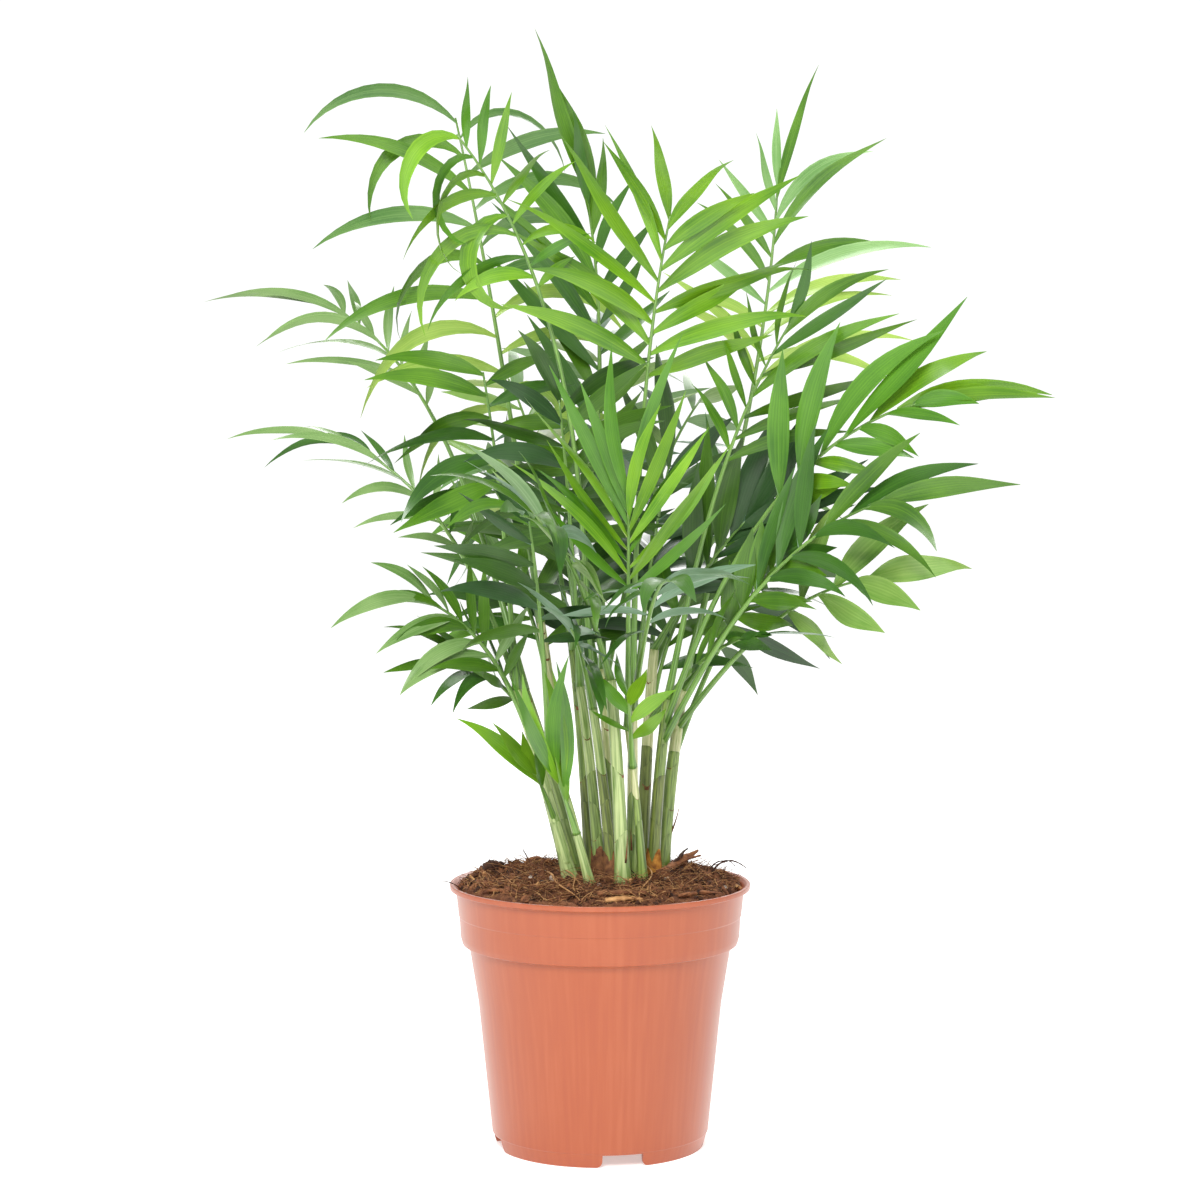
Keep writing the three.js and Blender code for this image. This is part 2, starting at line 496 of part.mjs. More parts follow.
/** One leaflet of a frond: where it is rooted and how it arches over in an upright plane. */
class Leaflet {
  constructor(frond, number, attempt) {
    const { spec, index, limb } = frond;
    const place = Math.floor(number / 2) + (number % 2) * PAIR_SHIFT;
    const along = place / (spec.pairs - 1 + PAIR_SHIFT);
    const hand = number % 2 === 0 ? 1 : -1;
    const share = spec.bare + (LAST_LEAF - spec.bare) * along;
    const wander = (purpose) => chance(index, number, purpose + 5 * attempt);

    const forward = limb.direction(share);
    const normal = frond.face.clone().projectOnPlane(forward).normalize();
    const across = new THREE.Vector3().crossVectors(forward, normal);
    const [first, last] = spec.spread;
    const turn = first + (last - first) * along ** 2 + (WANDER.turn + TRY_TURN * attempt) * wander(1);
    const lift = spec.lift + (WANDER.lift + TRY_LIFT * attempt) * wander(2);
    const course = forward.multiplyScalar(Math.cos(radians(turn)));
    course.addScaledVector(across, hand * Math.sin(radians(turn)));
    course.addScaledVector(normal, lift).normalize();

    const [right, left] = spec.hands;
    const size = leafSize(along, spec.ends) * (hand > 0 ? right : left);
    this.root = limb.point(share);
    this.length = spec.reach * size * (1 + WANDER.length * wander(3));
    this.width = spec.width * Math.sqrt(size) * (1 + WANDER.width * wander(4));
    this.pitch = Math.asin(course.z);
    this.droop = radians(spec.droop * (1 + WANDER.droop * wander(5))) * Math.cos(this.pitch);
    this.out = course.clone().setZ(0).normalize();
    this.side = new THREE.Vector3().crossVectors(UP, this.out);
    this.across = new THREE.Vector3().crossVectors(course, normal).normalize();
    this.across.applyAxisAngle(course, radians(WANDER.roll * wander(4)));
  }

  point(share) {
    const pitch = this.pitch - this.droop * share;
    const out = (Math.sin(this.pitch) - Math.sin(pitch)) / this.droop;
    const rise = (Math.cos(pitch) - Math.cos(this.pitch)) / this.droop;
    const point = this.root.clone().addScaledVector(this.out, this.length * out);
    return point.addScaledVector(UP, this.length * rise);
  }

  /** Three-sided blade: two edges above a keel, `grown` wider and thicker all round. */
  solid(grown) {
    const stations = this.length > LONG_LEAF ? LONG_STATIONS : SHORT_STATIONS;
    const rings = stations.map((share) => {
      const pitch = this.pitch - this.droop * share;
      const onward = this.out.clone().multiplyScalar(Math.cos(pitch)).addScaledVector(UP, Math.sin(pitch));
      const across = this.across.clone().applyAxisAngle(this.side, this.droop * share);
      const up = new THREE.Vector3().crossVectors(across, onward);
      const half = (this.width / 2) * leafOutline(share);
      const keel = this.point(share).addScaledVector(up, -LEAF_KEEL - grown);
      const ridge = this.point(share).addScaledVector(up, half * LEAF_FOLD + grown);
      const right = ridge.clone().addScaledVector(across, half + grown);
      const left = ridge.clone().addScaledVector(across, -half - grown);
      return [right, keel, left];
    });
    return solidOf(loft([[this.root], ...rings, [this.point(1)]]));
  }
}

/** A frond's stalk with the leaflets that find room. */
class Frond {
  constructor(spec, index, cane) {
    const [azimuth, elevation] = spec.facing.map(radians);
    const level = Math.cos(elevation);
    this.spec = spec;
    this.index = index;
    this.limb = new Limb(cane.limb.point(spec.from), new THREE.Vector3(...spec.tip), spec.bend);
    this.face = new THREE.Vector3(
      level * Math.cos(azimuth),
      level * Math.sin(azimuth),
      Math.sin(elevation),
    );
    const shares = [];
    for (let k = 0; k < STALK_BARE_STEPS; k += 1) {
      shares.push((spec.bare * k) / STALK_BARE_STEPS);
    }
    for (let k = 0; k < spec.pairs; k += 1) {
      shares.push(spec.bare + ((1 - spec.bare) * k) / (spec.pairs - 1));
    }
    const taper = STALK_TIP_RADIUS - STALK_RADIUS;
    const stalk = this.limb.solid(STALK_SIDES, shares, (share) => STALK_RADIUS + taper * share);
    this.stalk = largestPiece(stalk.subtract(cane.grown));
    this.leaves = [];
  }

  /** Adds each leaflet at its first attempt that stays clear of what other fronds have taken. */
  grow(obstacles) {
    for (let number = 0; number < 2 * this.spec.pairs; number += 1) {
      for (let attempt = 0; attempt < LEAF_TRIES; attempt += 1) {
        const leaflet = new Leaflet(this, number, attempt);
        if (leaflet.point(1).z > LEAF_LOWEST && isClear(leaflet.solid(LEAF_PROBE), this, obstacles)) {
          const solid = leaflet.solid(0);
          this.leaves.push(solid);
          obstacles.push({ owner: this, solid, box: solid.boundingBox() });
          break;
        }
      }
    }
  }
}

/** Whether a probe crosses none of the obstacles that belong to others. */
function isClear(probe, owner, obstacles) {
  const box = probe.boundingBox();
  return obstacles.every((other) => {
    const apart = [0, 1, 2].some(
      (axis) => box.max[axis] < other.box.min[axis] || other.box.max[axis] < box.min[axis],
    );
    return apart || other.owner === owner || probe.intersect(other.solid).isEmpty();
  });
}

const group = new THREE.Group();
group.add(meshOf('pot', potSolid(), MATERIALS.pot));
group.add(meshOf('compost', compostSolid(), MATERIALS.compost));

const canes = CANES.map(({ foot, top, girth }) => {
  const limb = new Limb(new THREE.Vector3(...foot, HEAP_HEIGHT), new THREE.Vector3(...top), CANE_BEND);
  return { limb, solid: caneSolid(limb, girth, 0), grown: caneSolid(limb, girth, CLEAR) };
});
canes.forEach(({ solid }, i) => group.add(meshOf(`cane_${i + 1}`, solid, MATERIALS.cane)));

const fronds = FRONDS.map((spec, index) => new Frond(spec, index, canes[spec.cane]));
const obstacles = [
  ...canes.map(({ solid }) => ({ owner: null, solid, box: solid.boundingBox() })),
  ...fronds.map((frond) => ({ owner: frond, solid: frond.stalk, box: frond.stalk.boundingBox() })),
];
for (const frond of fronds) {
  frond.grow(obstacles);
  const joined = largestPiece(wasm.Manifold.union([frond.stalk, ...frond.leaves]));
  group.add(meshOf(`frond_${frond.index + 1}`, joined, MATERIALS[frond.spec.tone]));
}

export default group;
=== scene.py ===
"""Dresses a packed potted parlour palm: its pot, compost, canes and fronds, and the studio round it.

Sizes are in millimetres, +Z up, about the pot's axis at the level on which the pot stands, and the
front of the plant faces -Y. A mesh is scaled to metres when it becomes a piece.
"""

import logging
import math
import random
from collections.abc import Callable, Sequence
from dataclasses import dataclass, field
from enum import Enum
from typing import Any, Protocol

import bmesh
import bpy
from bmesh.types import BMEdge, BMesh, BMVert
from bpy.types import Camera, Light, Material, Mesh, Node, NodeSocket, NodeTree, Object
from mathutils import Matrix, Quaternion, Vector, noise
from mathutils.bvhtree import BVHTree


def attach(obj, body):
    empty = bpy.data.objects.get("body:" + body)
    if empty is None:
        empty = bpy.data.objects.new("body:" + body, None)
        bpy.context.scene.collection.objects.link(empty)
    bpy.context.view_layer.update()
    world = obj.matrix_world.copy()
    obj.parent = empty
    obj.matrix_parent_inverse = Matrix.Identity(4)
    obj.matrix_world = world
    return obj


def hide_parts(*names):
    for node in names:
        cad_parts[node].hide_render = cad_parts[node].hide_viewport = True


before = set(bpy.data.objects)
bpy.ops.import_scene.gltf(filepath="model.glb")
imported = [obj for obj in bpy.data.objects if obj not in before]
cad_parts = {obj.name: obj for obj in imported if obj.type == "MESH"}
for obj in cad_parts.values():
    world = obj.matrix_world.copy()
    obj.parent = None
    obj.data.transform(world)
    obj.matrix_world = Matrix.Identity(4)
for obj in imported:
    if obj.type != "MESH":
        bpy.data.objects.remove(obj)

LOG = logging.getLogger("parlour_palm")
MM = 0.001
UP = Vector((0.0, 0.0, 1.0))
SEED = 20


# --- Finishes -----------------------------------------------------------------------------------


def linear(colour: str) -> tuple[float, float, float, float]:
    """Turn an sRGB hex colour into a linear one.

    Args:
        colour: six hex digits after a hash sign.

    Returns:
        Red, green and blue as linear light, and a full alpha.
    """
    parts = [int(colour[i:i + 2], 16) / 255 for i in (1, 3, 5)]
    light = [p / 12.92 if p <= 0.04045 else ((p + 0.055) / 1.055) ** 2.4 for p in parts]
    return (light[0], light[1], light[2], 1.0)


def add_node(
    tree: NodeTree,
    kind: str,
    settings: dict[str, Any] | None = None,
    inputs: dict[str | int, Any] | None = None,
) -> Node:
    """Add a shader node with its settings and links.

    Args:
        tree: the tree that gets the node.
        kind: the node's type name, without the beginning that all share.
        settings: values of the node's own properties.
        inputs: for each input, a constant or the socket that feeds it.

    Returns:
        The new node.
    """
    made = tree.nodes.new(f"ShaderNode{kind}")
    for name, value in (settings or {}).items():
        setattr(made, name, value)
    for name, value in (inputs or {}).items():
        if isinstance(value, NodeSocket):
            tree.links.new(value, made.inputs[name])
        else:
            made.inputs[name].default_value = value
    return made


def add_noise(
    tree: NodeTree, place: NodeSocket, scale: float = 1.0, detail: float = 3.0, **more: float
) -> NodeSocket:
    """Add a noise.

    Args:
        tree: the tree that gets the node.
        place: where the noise is read.
        scale: its waves to a unit of length.
        detail: its finer layers.
        more: its other inputs, by name.

    Returns:
        The socket of its value.
    """
    waves = {"Vector": place, "Scale": scale, "Detail": detail, **more}
    return add_node(tree, "TexNoise", inputs=waves).outputs["Fac"]


def add_mix(tree: NodeTree, share: float, first: NodeSocket, second: NodeSocket) -> NodeSocket:
    """Mix a share of a second value into a first and return the socket."""
    mixing = {"Factor": share, "A": first, "B": second}
    return add_node(tree, "Mix", inputs=mixing).outputs["Result"]


def add_ramp(tree: NodeTree, share: NodeSocket, *stops: tuple[float, str]) -> NodeSocket:
    """Colour a value by stops, each a place and a colour, and return the socket."""
    made = add_node(tree, "ValToRGB", inputs={0: share})
    ramp = made.color_ramp.elements
    while len(ramp) < len(stops):
        ramp.new(0.5)
    for element, (place, colour) in zip(ramp, stops):
        element.position = place
        element.color = linear(colour)
    return made.outputs["Color"]


def add_bump(
    tree: NodeTree, height: NodeSocket, depth_mm: float, strength: float | NodeSocket
) -> NodeSocket:
    """Raise a surface by a value, which is its full depth at 1, and return the normal's socket."""
    relief = {"Strength": strength, "Distance": depth_mm * MM, "Height": height}
    return add_node(tree, "Bump", inputs=relief).outputs["Normal"]


@dataclass(frozen=True)
class Finish:
    """What a surface is made of. Each kind of finish shades itself."""

    name: str

    def shade(self, tree: NodeTree) -> Node:
        """Add the finish's nodes and return the shader."""
        raise NotImplementedError

    def material(self) -> Material:
        """Make the material, or find it where it was made before."""
        made = bpy.data.materials.get(self.name)
        if made is None:
            made = bpy.data.materials.new(self.name)
            made.use_nodes = True
            made.node_tree.nodes.clear()
            shader = self.shade(made.node_tree)
            add_node(made.node_tree, "OutputMaterial", inputs={"Surface": shader.outputs["BSDF"]})
        return made


@dataclass(frozen=True)
class MouldedPolypropylene(Finish):
    """Thin injection-moulded polypropylene, coloured right through: satin, with faint flow lines
    whose lighter streaks are partly painted reflection.
    """

    name: str = "moulded_polypropylene"
    dark_streak: str = "#9d4d2f"
    body: str = "#a15130"
    light_flow_and_reflection: str = "#a65736"
    wall_radius: float = 50.0
    streak_mm: float = 2.2
    streak_rise: float = 1.2
    mottle_mm: float = 26.0
    roughness: float = 0.33
    unevenness: float = 0.04

    def shade(self, tree: NodeTree) -> Node:
        """Streak the wall from foot to lip along its own slope: flow lines, the light ones partly
        painted reflection.
        """
        place = add_node(tree, "TexCoord").outputs["Object"]
        height = add_node(tree, "SeparateXYZ", inputs={0: place}).outputs["Z"]
        level = {0: place, 1: (1.0, 1.0, 0.0)}
        flat = add_node(tree, "VectorMath", {"operation": "MULTIPLY"}, level).outputs[0]
        around = add_node(tree, "VectorMath", {"operation": "NORMALIZE"}, {0: flat}).outputs[0]
        rise = {0: height, 1: self.streak_rise}
        drawn = add_node(tree, "Math", {"operation": "MULTIPLY"}, rise).outputs[0]
        parts = add_node(tree, "SeparateXYZ", inputs={0: around}).outputs
        wall = {"X": parts["X"], "Y": parts["Y"], "Z": drawn}
        wall_place = add_node(tree, "CombineXYZ", inputs=wall).outputs[0]
        streaks = add_noise(tree, wall_place, self.wall_radius / self.streak_mm)
        mottle = add_noise(tree, place, 1 / (self.mottle_mm * MM), 2.0)
        share = add_mix(tree, 0.2, streaks, mottle)
        gloss = {"Value": streaks, "To Min": self.roughness - self.unevenness,
                 "To Max": self.roughness + self.unevenness}
        return add_node(tree, "BsdfPrincipled", inputs={
            # the streak colours are flow lines, and their lighter streaks are also painted
            # reflection
            "Base Color": add_ramp(
                tree, share, (0.3, self.dark_streak), (0.5, self.body), (0.7, self.light_flow_and_reflection)),
            "Roughness": add_node(tree, "MapRange", inputs=gloss).outputs["Result"],
            "IOR": 1.49,
            "Coat Weight": 0.12,
            "Coat Roughness": 0.25,
            "Normal": add_bump(tree, streaks, 0.2, 0.07),
        })


@dataclass(frozen=True)
class CoirCompost(Finish):
    """Moist peat and coir mix: matt and crumbly, tan on the fibre, and near black in the low gaps of
    its relief, which is dark peat with painted shade.
    """

    name: str = "coir_compost"
    stops: tuple[tuple[float, str], ...] = (
        (0.27, "#25140e"), (0.4, "#4d2f22"), (0.53, "#7a5039"), (0.66, "#986a49"), (0.85, "#b98c60"),
    )
    crumb_mm: float = 3.2
    fibre_mm: float = 0.9

    def shade(self, tree: NodeTree) -> Node:
        """Mix coarse crumbs with fine fibre and raise both, darkest where lowest, as painted shade.
        """
        place = add_node(tree, "TexCoord").outputs["Object"]
        crumbs = add_noise(tree, place, 1 / (self.crumb_mm * MM), 5.0, Roughness=0.7)
        fibre = add_noise(tree, place, 1 / (self.fibre_mm * MM), Distortion=2.0)
        share = add_mix(tree, 0.4, crumbs, fibre)
        return add_node(tree, "BsdfPrincipled", inputs={
            # the darkest stop falls on the lowest parts of the bump: painted shade in the gaps
            "Base Color": add_ramp(tree, share, *self.stops),
            "Roughness": 0.95,
            "Specular IOR Level": 0.2,
            "Normal": add_bump(tree, share, 1.2, 0.9),
        })


@dataclass(frozen=True)
class DryFibre(Finish):
    """A dead strand, husk or scar: papery or woody, dull, and mottled along its length."""

    dark: str
    light: str
    grain_mm: float = 2.5

    def shade(self, tree: NodeTree) -> Node:
        """Mottle the strand between its two colours."""
        place = add_node(tree, "TexCoord").outputs["Object"]
        mottle = add_noise(tree, place, 1 / (self.grain_mm * MM))
        return add_node(tree, "BsdfPrincipled", inputs={
            "Base Color": add_ramp(tree, mottle, (0.3, self.dark), (0.7, self.light)),
            "Roughness": 0.75,
            "Specular IOR Level": 0.25,
        })


@dataclass(frozen=True)
class StemSkin(Finish):
    """Smooth living stem: a waxy satin skin with fine ribs, streaked lengthwise in its own UV."""

    dark: str
    light: str
    ribs: float = 12.0
    roughness: float = 0.38

    def shade(self, tree: NodeTree) -> Node:
        """Streak the skin along the stem and raise its ribs a little."""
        place = add_node(tree, "TexCoord").outputs
        stretch = {"Vector": place["UV"], "Scale": (self.ribs, 1.2, 1.0)}
        streaks = add_noise(tree, add_node(tree, "Mapping", inputs=stretch).outputs[0])
        blotch = add_noise(tree, place["Object"], 55.0, 2.0)
        share = add_mix(tree, 0.25, streaks, blotch)
        return add_node(tree, "BsdfPrincipled", inputs={
            "Base Color": add_ramp(tree, share, (0.39, self.dark), (0.61, self.light)),
            "Roughness": self.roughness,
            "IOR": 1.45,
            "Subsurface Weight": 0.1,
            "Subsurface Radius": (0.002, 0.003, 0.001),
            "Subsurface Scale": 0.5,
            "Coat Weight": 0.35,
            "Coat Roughness": 0.2,
            "Normal": add_bump(tree, streaks, 0.5, 0.4),
        })


@dataclass(frozen=True)
class LeafSkin(Finish):
    """One side of a palm leaflet: waxy, with fine veins from foot to tip that shine like satin."""

    dark: str
    light: str
    veins: float = 9.0
    roughness: float = 0.34
    patch_mm: float = 24.0

    def shade(self, tree: NodeTree) -> Node:
        """Draw the veins across the leaflet's own UV, over slow changes of green."""
        place = add_node(tree, "TexCoord").outputs
        slow = add_noise(tree, place["Object"], 1 / (self.patch_mm * MM), 2.0)
        blade = add_node(tree, "SeparateXYZ", inputs={0: place["UV"]}).outputs
        course = {"X": blade["X"], "Y": slow, "Z": blade["Y"]}
        stretch = {"Vector": add_node(tree, "CombineXYZ", inputs=course).outputs[0],
                   "Scale": (self.veins, 2.0, 0.6)}
        along = add_node(tree, "Mapping", inputs=stretch).outputs[0]
        vein = add_noise(tree, along, detail=4.0, Roughness=0.6)
        line = ((0.455, "#000000"), (0.5, "#ffffff"), (0.545, "#000000"))
        midrib = add_ramp(tree, blade["X"], *line)
        paler = {0: midrib, 1: 0.16, 2: add_mix(tree, 0.5, slow, vein)}
        share = add_node(tree, "Math", {"operation": "MULTIPLY_ADD"}, paler).outputs[0]
        fading = {"Value": blade["Y"], "From Min": 0.35, "From Max": 0.8, "To Min": 0.3,
                  "To Max": 0.0}
        strength = add_node(tree, "MapRange", inputs=fading).outputs["Result"]
        return add_node(tree, "BsdfPrincipled", inputs={
            "Base Color": add_ramp(tree, share, (0.36, self.dark), (0.64, self.light)),
            "Roughness": self.roughness,
            "IOR": 1.45,
            "Specular IOR Level": 0.4,
            "Coat Weight": 0.35,
            "Coat Roughness": 0.2,
            "Normal": add_bump(tree, vein, 0.3, strength),
        })


@dataclass(frozen=True)
class StudioPaper(Finish):
    """Seamless white paper, matt."""

    name: str = "studio_paper"
    colour: str = "#f8f8f7"
    glow: float = 0.48

    def shade(self, tree: NodeTree) -> Node:
        """Shade a plain matt white that glows a little."""
        plain = {"Base Color": linear(self.colour), "Roughness": 0.9, "Specular IOR Level": 0.1,
                 "Emission Color": linear(self.colour), "Emission Strength": self.glow}
        return add_node(tree, "BsdfPrincipled", inputs=plain)


class Kinds(Enum):
    """Finishes that share a mesh, each with its place among the mesh's materials."""

    @property
    def number(self) -> int:
        """Return the finish's place among the materials."""
        return list(type(self)).index(self)

    @classmethod
    def materials(cls) -> list[Material]:
        """Make the materials of all kinds, in their order."""
        return [kind.value.material() for kind in cls]


# Leaflets low on a pale frond take its lightest green: painted backlight.
BACKLIT_STRETCH = 0.4
BACKLIT_GREEN = 2


class Tone(Enum):
    """How old a frond's green is, with the greens that its leaflets have above and below.

    The deep tone is old dark green with painted shade: its fronds stand inside the crown and low at
    its back.

    A leaflet takes one of the upper greens and the underside that goes with it. The first is the
    tone's own green, the second darker, the third lighter, and a fourth greyed by painted sheen. On
    a pale frond the third is painted backlight, for its low leaflets.
    """

    PALE = ("pale",
            (("#376414", "#628f26"), ("#3a6628", "#6a8f4c"), ("#789f3a", "#a8c45c"),
             ("#5f8f45", "#93b877")),
            (("#5c8640", "#86a861"), ("#5d8550", "#86a57a"), ("#93b45f", "#bcd484"),
             ("#7a9f63", "#a3be90")))
    FRESH = ("fresh",
             (("#40700a", "#6f9b19"), ("#34660e", "#588d1b"), ("#4b8110", "#7fae25"),
              ("#56822e", "#87a653")),
             (("#638e37", "#8dae58"), ("#527d3f", "#7b9f64"), ("#799743", "#a4b766"),
              ("#6c8f4e", "#9ab282")))
    MATURE = ("mature",
              (("#2f580a", "#537e16"), ("#244d10", "#3f6d1b"), ("#39670c", "#60901d"),
               ("#547b36", "#86a465")),
              (("#51753f", "#7e9c6a"), ("#476846", "#718f73"), ("#62813f", "#8ba566"),
               ("#688a50", "#95af80")))
    # deep: an old frond's dark green, darkened further with painted shade for fronds deep in the
    # crown
    DEEP = ("deep",
            (("#1e3e0c", "#385d18"), ("#1a3814", "#2e5323"), ("#294b0e", "#48701a")),
            (("#3b5d37", "#648156"), ("#345440", "#5a7a62"), ("#4a6e3b", "#73905c")))

    def __init__(
        self,
        word: str,
        upper: tuple[tuple[str, str], ...],
        under: tuple[tuple[str, str], ...],
    ) -> None:
        """Keep the tone's word and make a finish of each pair of greens."""
        self.word = word
        self.upper = [LeafSkin(f"leaf_{word}_{k}", *pair) for k, pair in enumerate(upper)]
        self.under = [LeafSkin(f"leaf_{word}_under_{k}", *pair, roughness=0.46)
                      for k, pair in enumerate(under)]

    def kind(self, leaflet: "Leaflet") -> int:
        """Return a leaflet's pair of greens: the lightest, as painted backlight, low on a pale
        frond.
        """
        # painted backlight: the lightest green for the low leaflets of a pale frond
        if self is Tone.PALE and leaflet.along < BACKLIT_STRETCH:
            return BACKLIT_GREEN
        return leaflet.greens[leaflet.luck % len(leaflet.greens)]


# --- Stock that is bent onto paths --------------------------------------------------------------


@dataclass(frozen=True)
class Station:
    """One place on a path: its point, and the directions across and square to the path."""

    point: Vector
    across: Vector
    up: Vector

    def beside(self, across: float, up: float) -> Vector:
        """Return the point that lies so far across and up from it."""
        return self.point + self.across * across + self.up * up

    def ring(self, radius: float, sides: int) -> list[Vector]:
        """Return the corners of a ring round it."""
        turns = (k * math.tau / sides for k in range(sides))
        return [self.beside(radius * math.cos(turn), radius * math.sin(turn)) for turn in turns]


class Path(Protocol):
    """Anything that stock can be laid along."""

    def station(self, share: float) -> Station:
        """Return the place at a share of the path's length."""
        ...


def mesh_from(name: str, bm: BMesh) -> Mesh:
    """Turn a mesh in the making, which is freed, into one that objects can have."""
    mesh = bpy.data.meshes.new(name)
    bm.to_mesh(mesh)
    bm.free()
    return mesh


def add_object(name: str, data: Camera | Light | Mesh) -> Object:
    """Put an object of some data into the scene."""
    made = bpy.data.objects.new(name, data)
    bpy.context.scene.collection.objects.link(made)
    return made


def piece_from(
    name: str,
    bm: BMesh,
    materials: Sequence[Material],
    nodes: Sequence[str] = (),
) -> Object:
    """Turn a mesh in millimetres into a piece of the palm.

    Args:
        name: the piece's name.
        bm: the mesh, which is freed.
        materials: the materials of its faces, by index.
        nodes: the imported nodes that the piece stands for.

    Returns:
        The new object, riding on the palm's one body.
    """
    bmesh.ops.scale(bm, vec=(MM, MM, MM), verts=bm.verts)
    mesh = mesh_from(name, bm)
    for material in materials:
        mesh.materials.append(material)
    piece = add_object(name, mesh)
    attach(piece, "root")
    if nodes:
        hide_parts(*nodes)
    LOG.info("%s: %d faces, stands for %d nodes", name, len(mesh.polygons), len(nodes))
    return piece


def bake(piece: Object) -> None:
    """Make a piece's modifiers part of its mesh."""
    bpy.context.view_layer.update()
    seen = piece.evaluated_get(bpy.context.evaluated_depsgraph_get())
    finished = bpy.data.meshes.new_from_object(seen)
    rough = piece.data
    piece.modifiers.clear()
    piece.data = finished
    bpy.data.meshes.remove(rough)


@dataclass
class Stock:
    """A straight template that is copied into a mesh and bent onto a path, copy by copy."""

    mesh: Mesh
    steps: int

    def lay(
        self,
        bm: BMesh,
        path: Path,
        section: Callable[[Vector, Station], Vector],
        finish: Callable[[Vector], int] = lambda middle: 0,
    ) -> None:
        """Add one copy along a path.

        Args:
            bm: the mesh that gets the copy.
            path: where the copy runs.
            section: the place of a template point at its station.
            finish: the material index of a face, from its middle in the template.
        """
        first_vert = len(bm.verts)
        first_face = len(bm.faces)
        bm.from_mesh(self.mesh)
        bm.verts.ensure_lookup_table()
        bm.faces.ensure_lookup_table()
        stations = [path.station(k / self.steps) for k in range(self.steps + 1)]
        for face in bm.faces[first_face:]:
            face.material_index = finish(face.calc_center_median())
            face.smooth = True
        for vert in bm.verts[first_vert:]:
            vert.co = section(vert.co, stations[round(vert.co.z * self.steps)])


def tube_stock(sides: int, steps: int) -> Stock:
    """Make a closed tube of radius 1 along Z from 0 to 1.

    Args:
        sides: flats round the tube.
        steps: rings of faces along it.

    Returns:
        The tube, with U round it and V along it.
    """
    bm = bmesh.new()
    bmesh.ops.create_circle(bm, segments=sides, radius=1.0)
    rim = list(bm.edges)
    for _ in range(steps):
        grown = bmesh.ops.extrude_edge_only(bm, edges=rim)["geom"]
        rim = [e for e in grown if isinstance(e, BMEdge)]
        ring = [v for v in grown if isinstance(v, BMVert)]
        bmesh.ops.translate(bm, verts=ring, vec=(0.0, 0.0, 1.0 / steps))
    bmesh.ops.holes_fill(bm, edges=bm.edges, sides=sides)
    bmesh.ops.recalc_face_normals(bm, faces=bm.faces)
    turns = bm.loops.layers.uv.new("UVMap")
    for face in bm.faces:
        middle = face.calc_center_median()
        centre = math.atan2(middle.y, middle.x)
        for loop in face.loops:
            turn = math.atan2(loop.vert.co.y, loop.vert.co.x)
            turn = centre + (turn - centre + math.pi) % math.tau - math.pi
            loop[turns].uv = (turn / math.tau, loop.vert.co.z)
    return Stock(mesh_from("tube_stock", bm), steps)


def blade_stock(columns: int, steps: int) -> Stock:
    """Make a closed flat blade: X from -1 to 1 across, Z from 0 to 1 along, Y 1 above and -1 below.

    Args:
        columns: faces across each side of the blade.
        steps: rows of faces along it.

    Returns:
        The blade, whose two sides share a sharp rim, with U across it and V along it.
    """
    bm = bmesh.new()
    bmesh.ops.create_grid(bm, x_segments=columns, y_segments=steps, size=1.0)
    bmesh.ops.triangulate(bm, faces=bm.faces)
    for vert in bm.verts:
        level = 0.0 if vert.is_boundary else 1.0
        vert.co = Vector((vert.co.x, level, (vert.co.y + 1) / 2))
    under = bmesh.ops.duplicate(bm, geom=list(bm.faces))["geom"]
    for vert in (v for v in under if isinstance(v, BMVert)):
        vert.co.y = -vert.co.y
    bmesh.ops.remove_doubles(bm, verts=bm.verts, dist=0.001)
    bmesh.ops.recalc_face_normals(bm, faces=bm.faces)
    for edge in bm.edges:
        edge.smooth = any(vert.co.y != 0.0 for vert in edge.verts)
    sides = bm.loops.layers.uv.new("UVMap")
    for face in bm.faces:
        for loop in face.loops:
            loop[sides].uv = ((loop.vert.co.x + 1) / 2, loop.vert.co.z)
    return Stock(mesh_from("blade_stock", bm), steps)


def round_section(radius_at: Callable[[float], float]) -> Callable[[Vector, Station], Vector]:
    """Return a section that swells or tapers a tube by its radius at each share of its length."""

    def section(flat: Vector, station: Station) -> Vector:
        """Place one point of the tube."""
        radius = radius_at(flat.z)
        return station.beside(radius * flat.x, radius * flat.y)

    return section


# --- Limbs: the rule by which canes and stalks grow ---------------------------------------------


def level_heading(way: Vector) -> Vector:
    """Return the level unit vector under a direction."""
    return Vector((way.x, way.y, 0.0)).normalized()


@dataclass
class Limb:
    """A limb between two points that bends over more and more, in the upright plane through both."""

    start: Vector
    end: Vector
    bend: float
    steps: int = 12
    out: Vector = field(init=False)
    side: Vector = field(init=False)
    lean: float = field(init=False, default=0.0)
    length: float = field(init=False, default=1.0)

    def __post_init__(self) -> None:
        """Fit the lean and the length so that the limb ends at its tip."""
        chord = self.end - self.start
        self.out = level_heading(chord)
        self.side = UP.cross(self.out)
        self.bend = math.radians(self.bend)
        trial = self.point(1.0) - self.start
        self.length = chord.length / trial.length
        self.lean = chord.angle(UP) - math.atan2(trial.dot(self.out), trial.z)

    def direction(self, share: float) -> Vector:
        """Return the way the limb grows at a share of its length."""
        slope = self.lean + self.bend * share * share
        return self.out * math.sin(slope) + UP * math.cos(slope)

    def point(self, share: float) -> Vector:
        """Return the point at a share of its length."""
        step = self.length * share / self.steps
        ways = (self.direction(share * (k + 0.5) / self.steps) for k in range(self.steps))
        return sum((way * step for way in ways), self.start.copy())

    def station(self, share: float) -> Station:
        """Return the place at a share of its length, for stock."""
        return Station(self.point(share), self.side, self.direction(share).cross(self.side))


@dataclass
class Stretch:
    """The part of a limb between two shares of its length, as a path of its own."""

    limb: Limb
    first: float
    last: float

    def station(self, share: float) -> Station:
        """Return the place at a share of the stretch."""
        return self.limb.station(self.first + (self.last - self.first) * share)


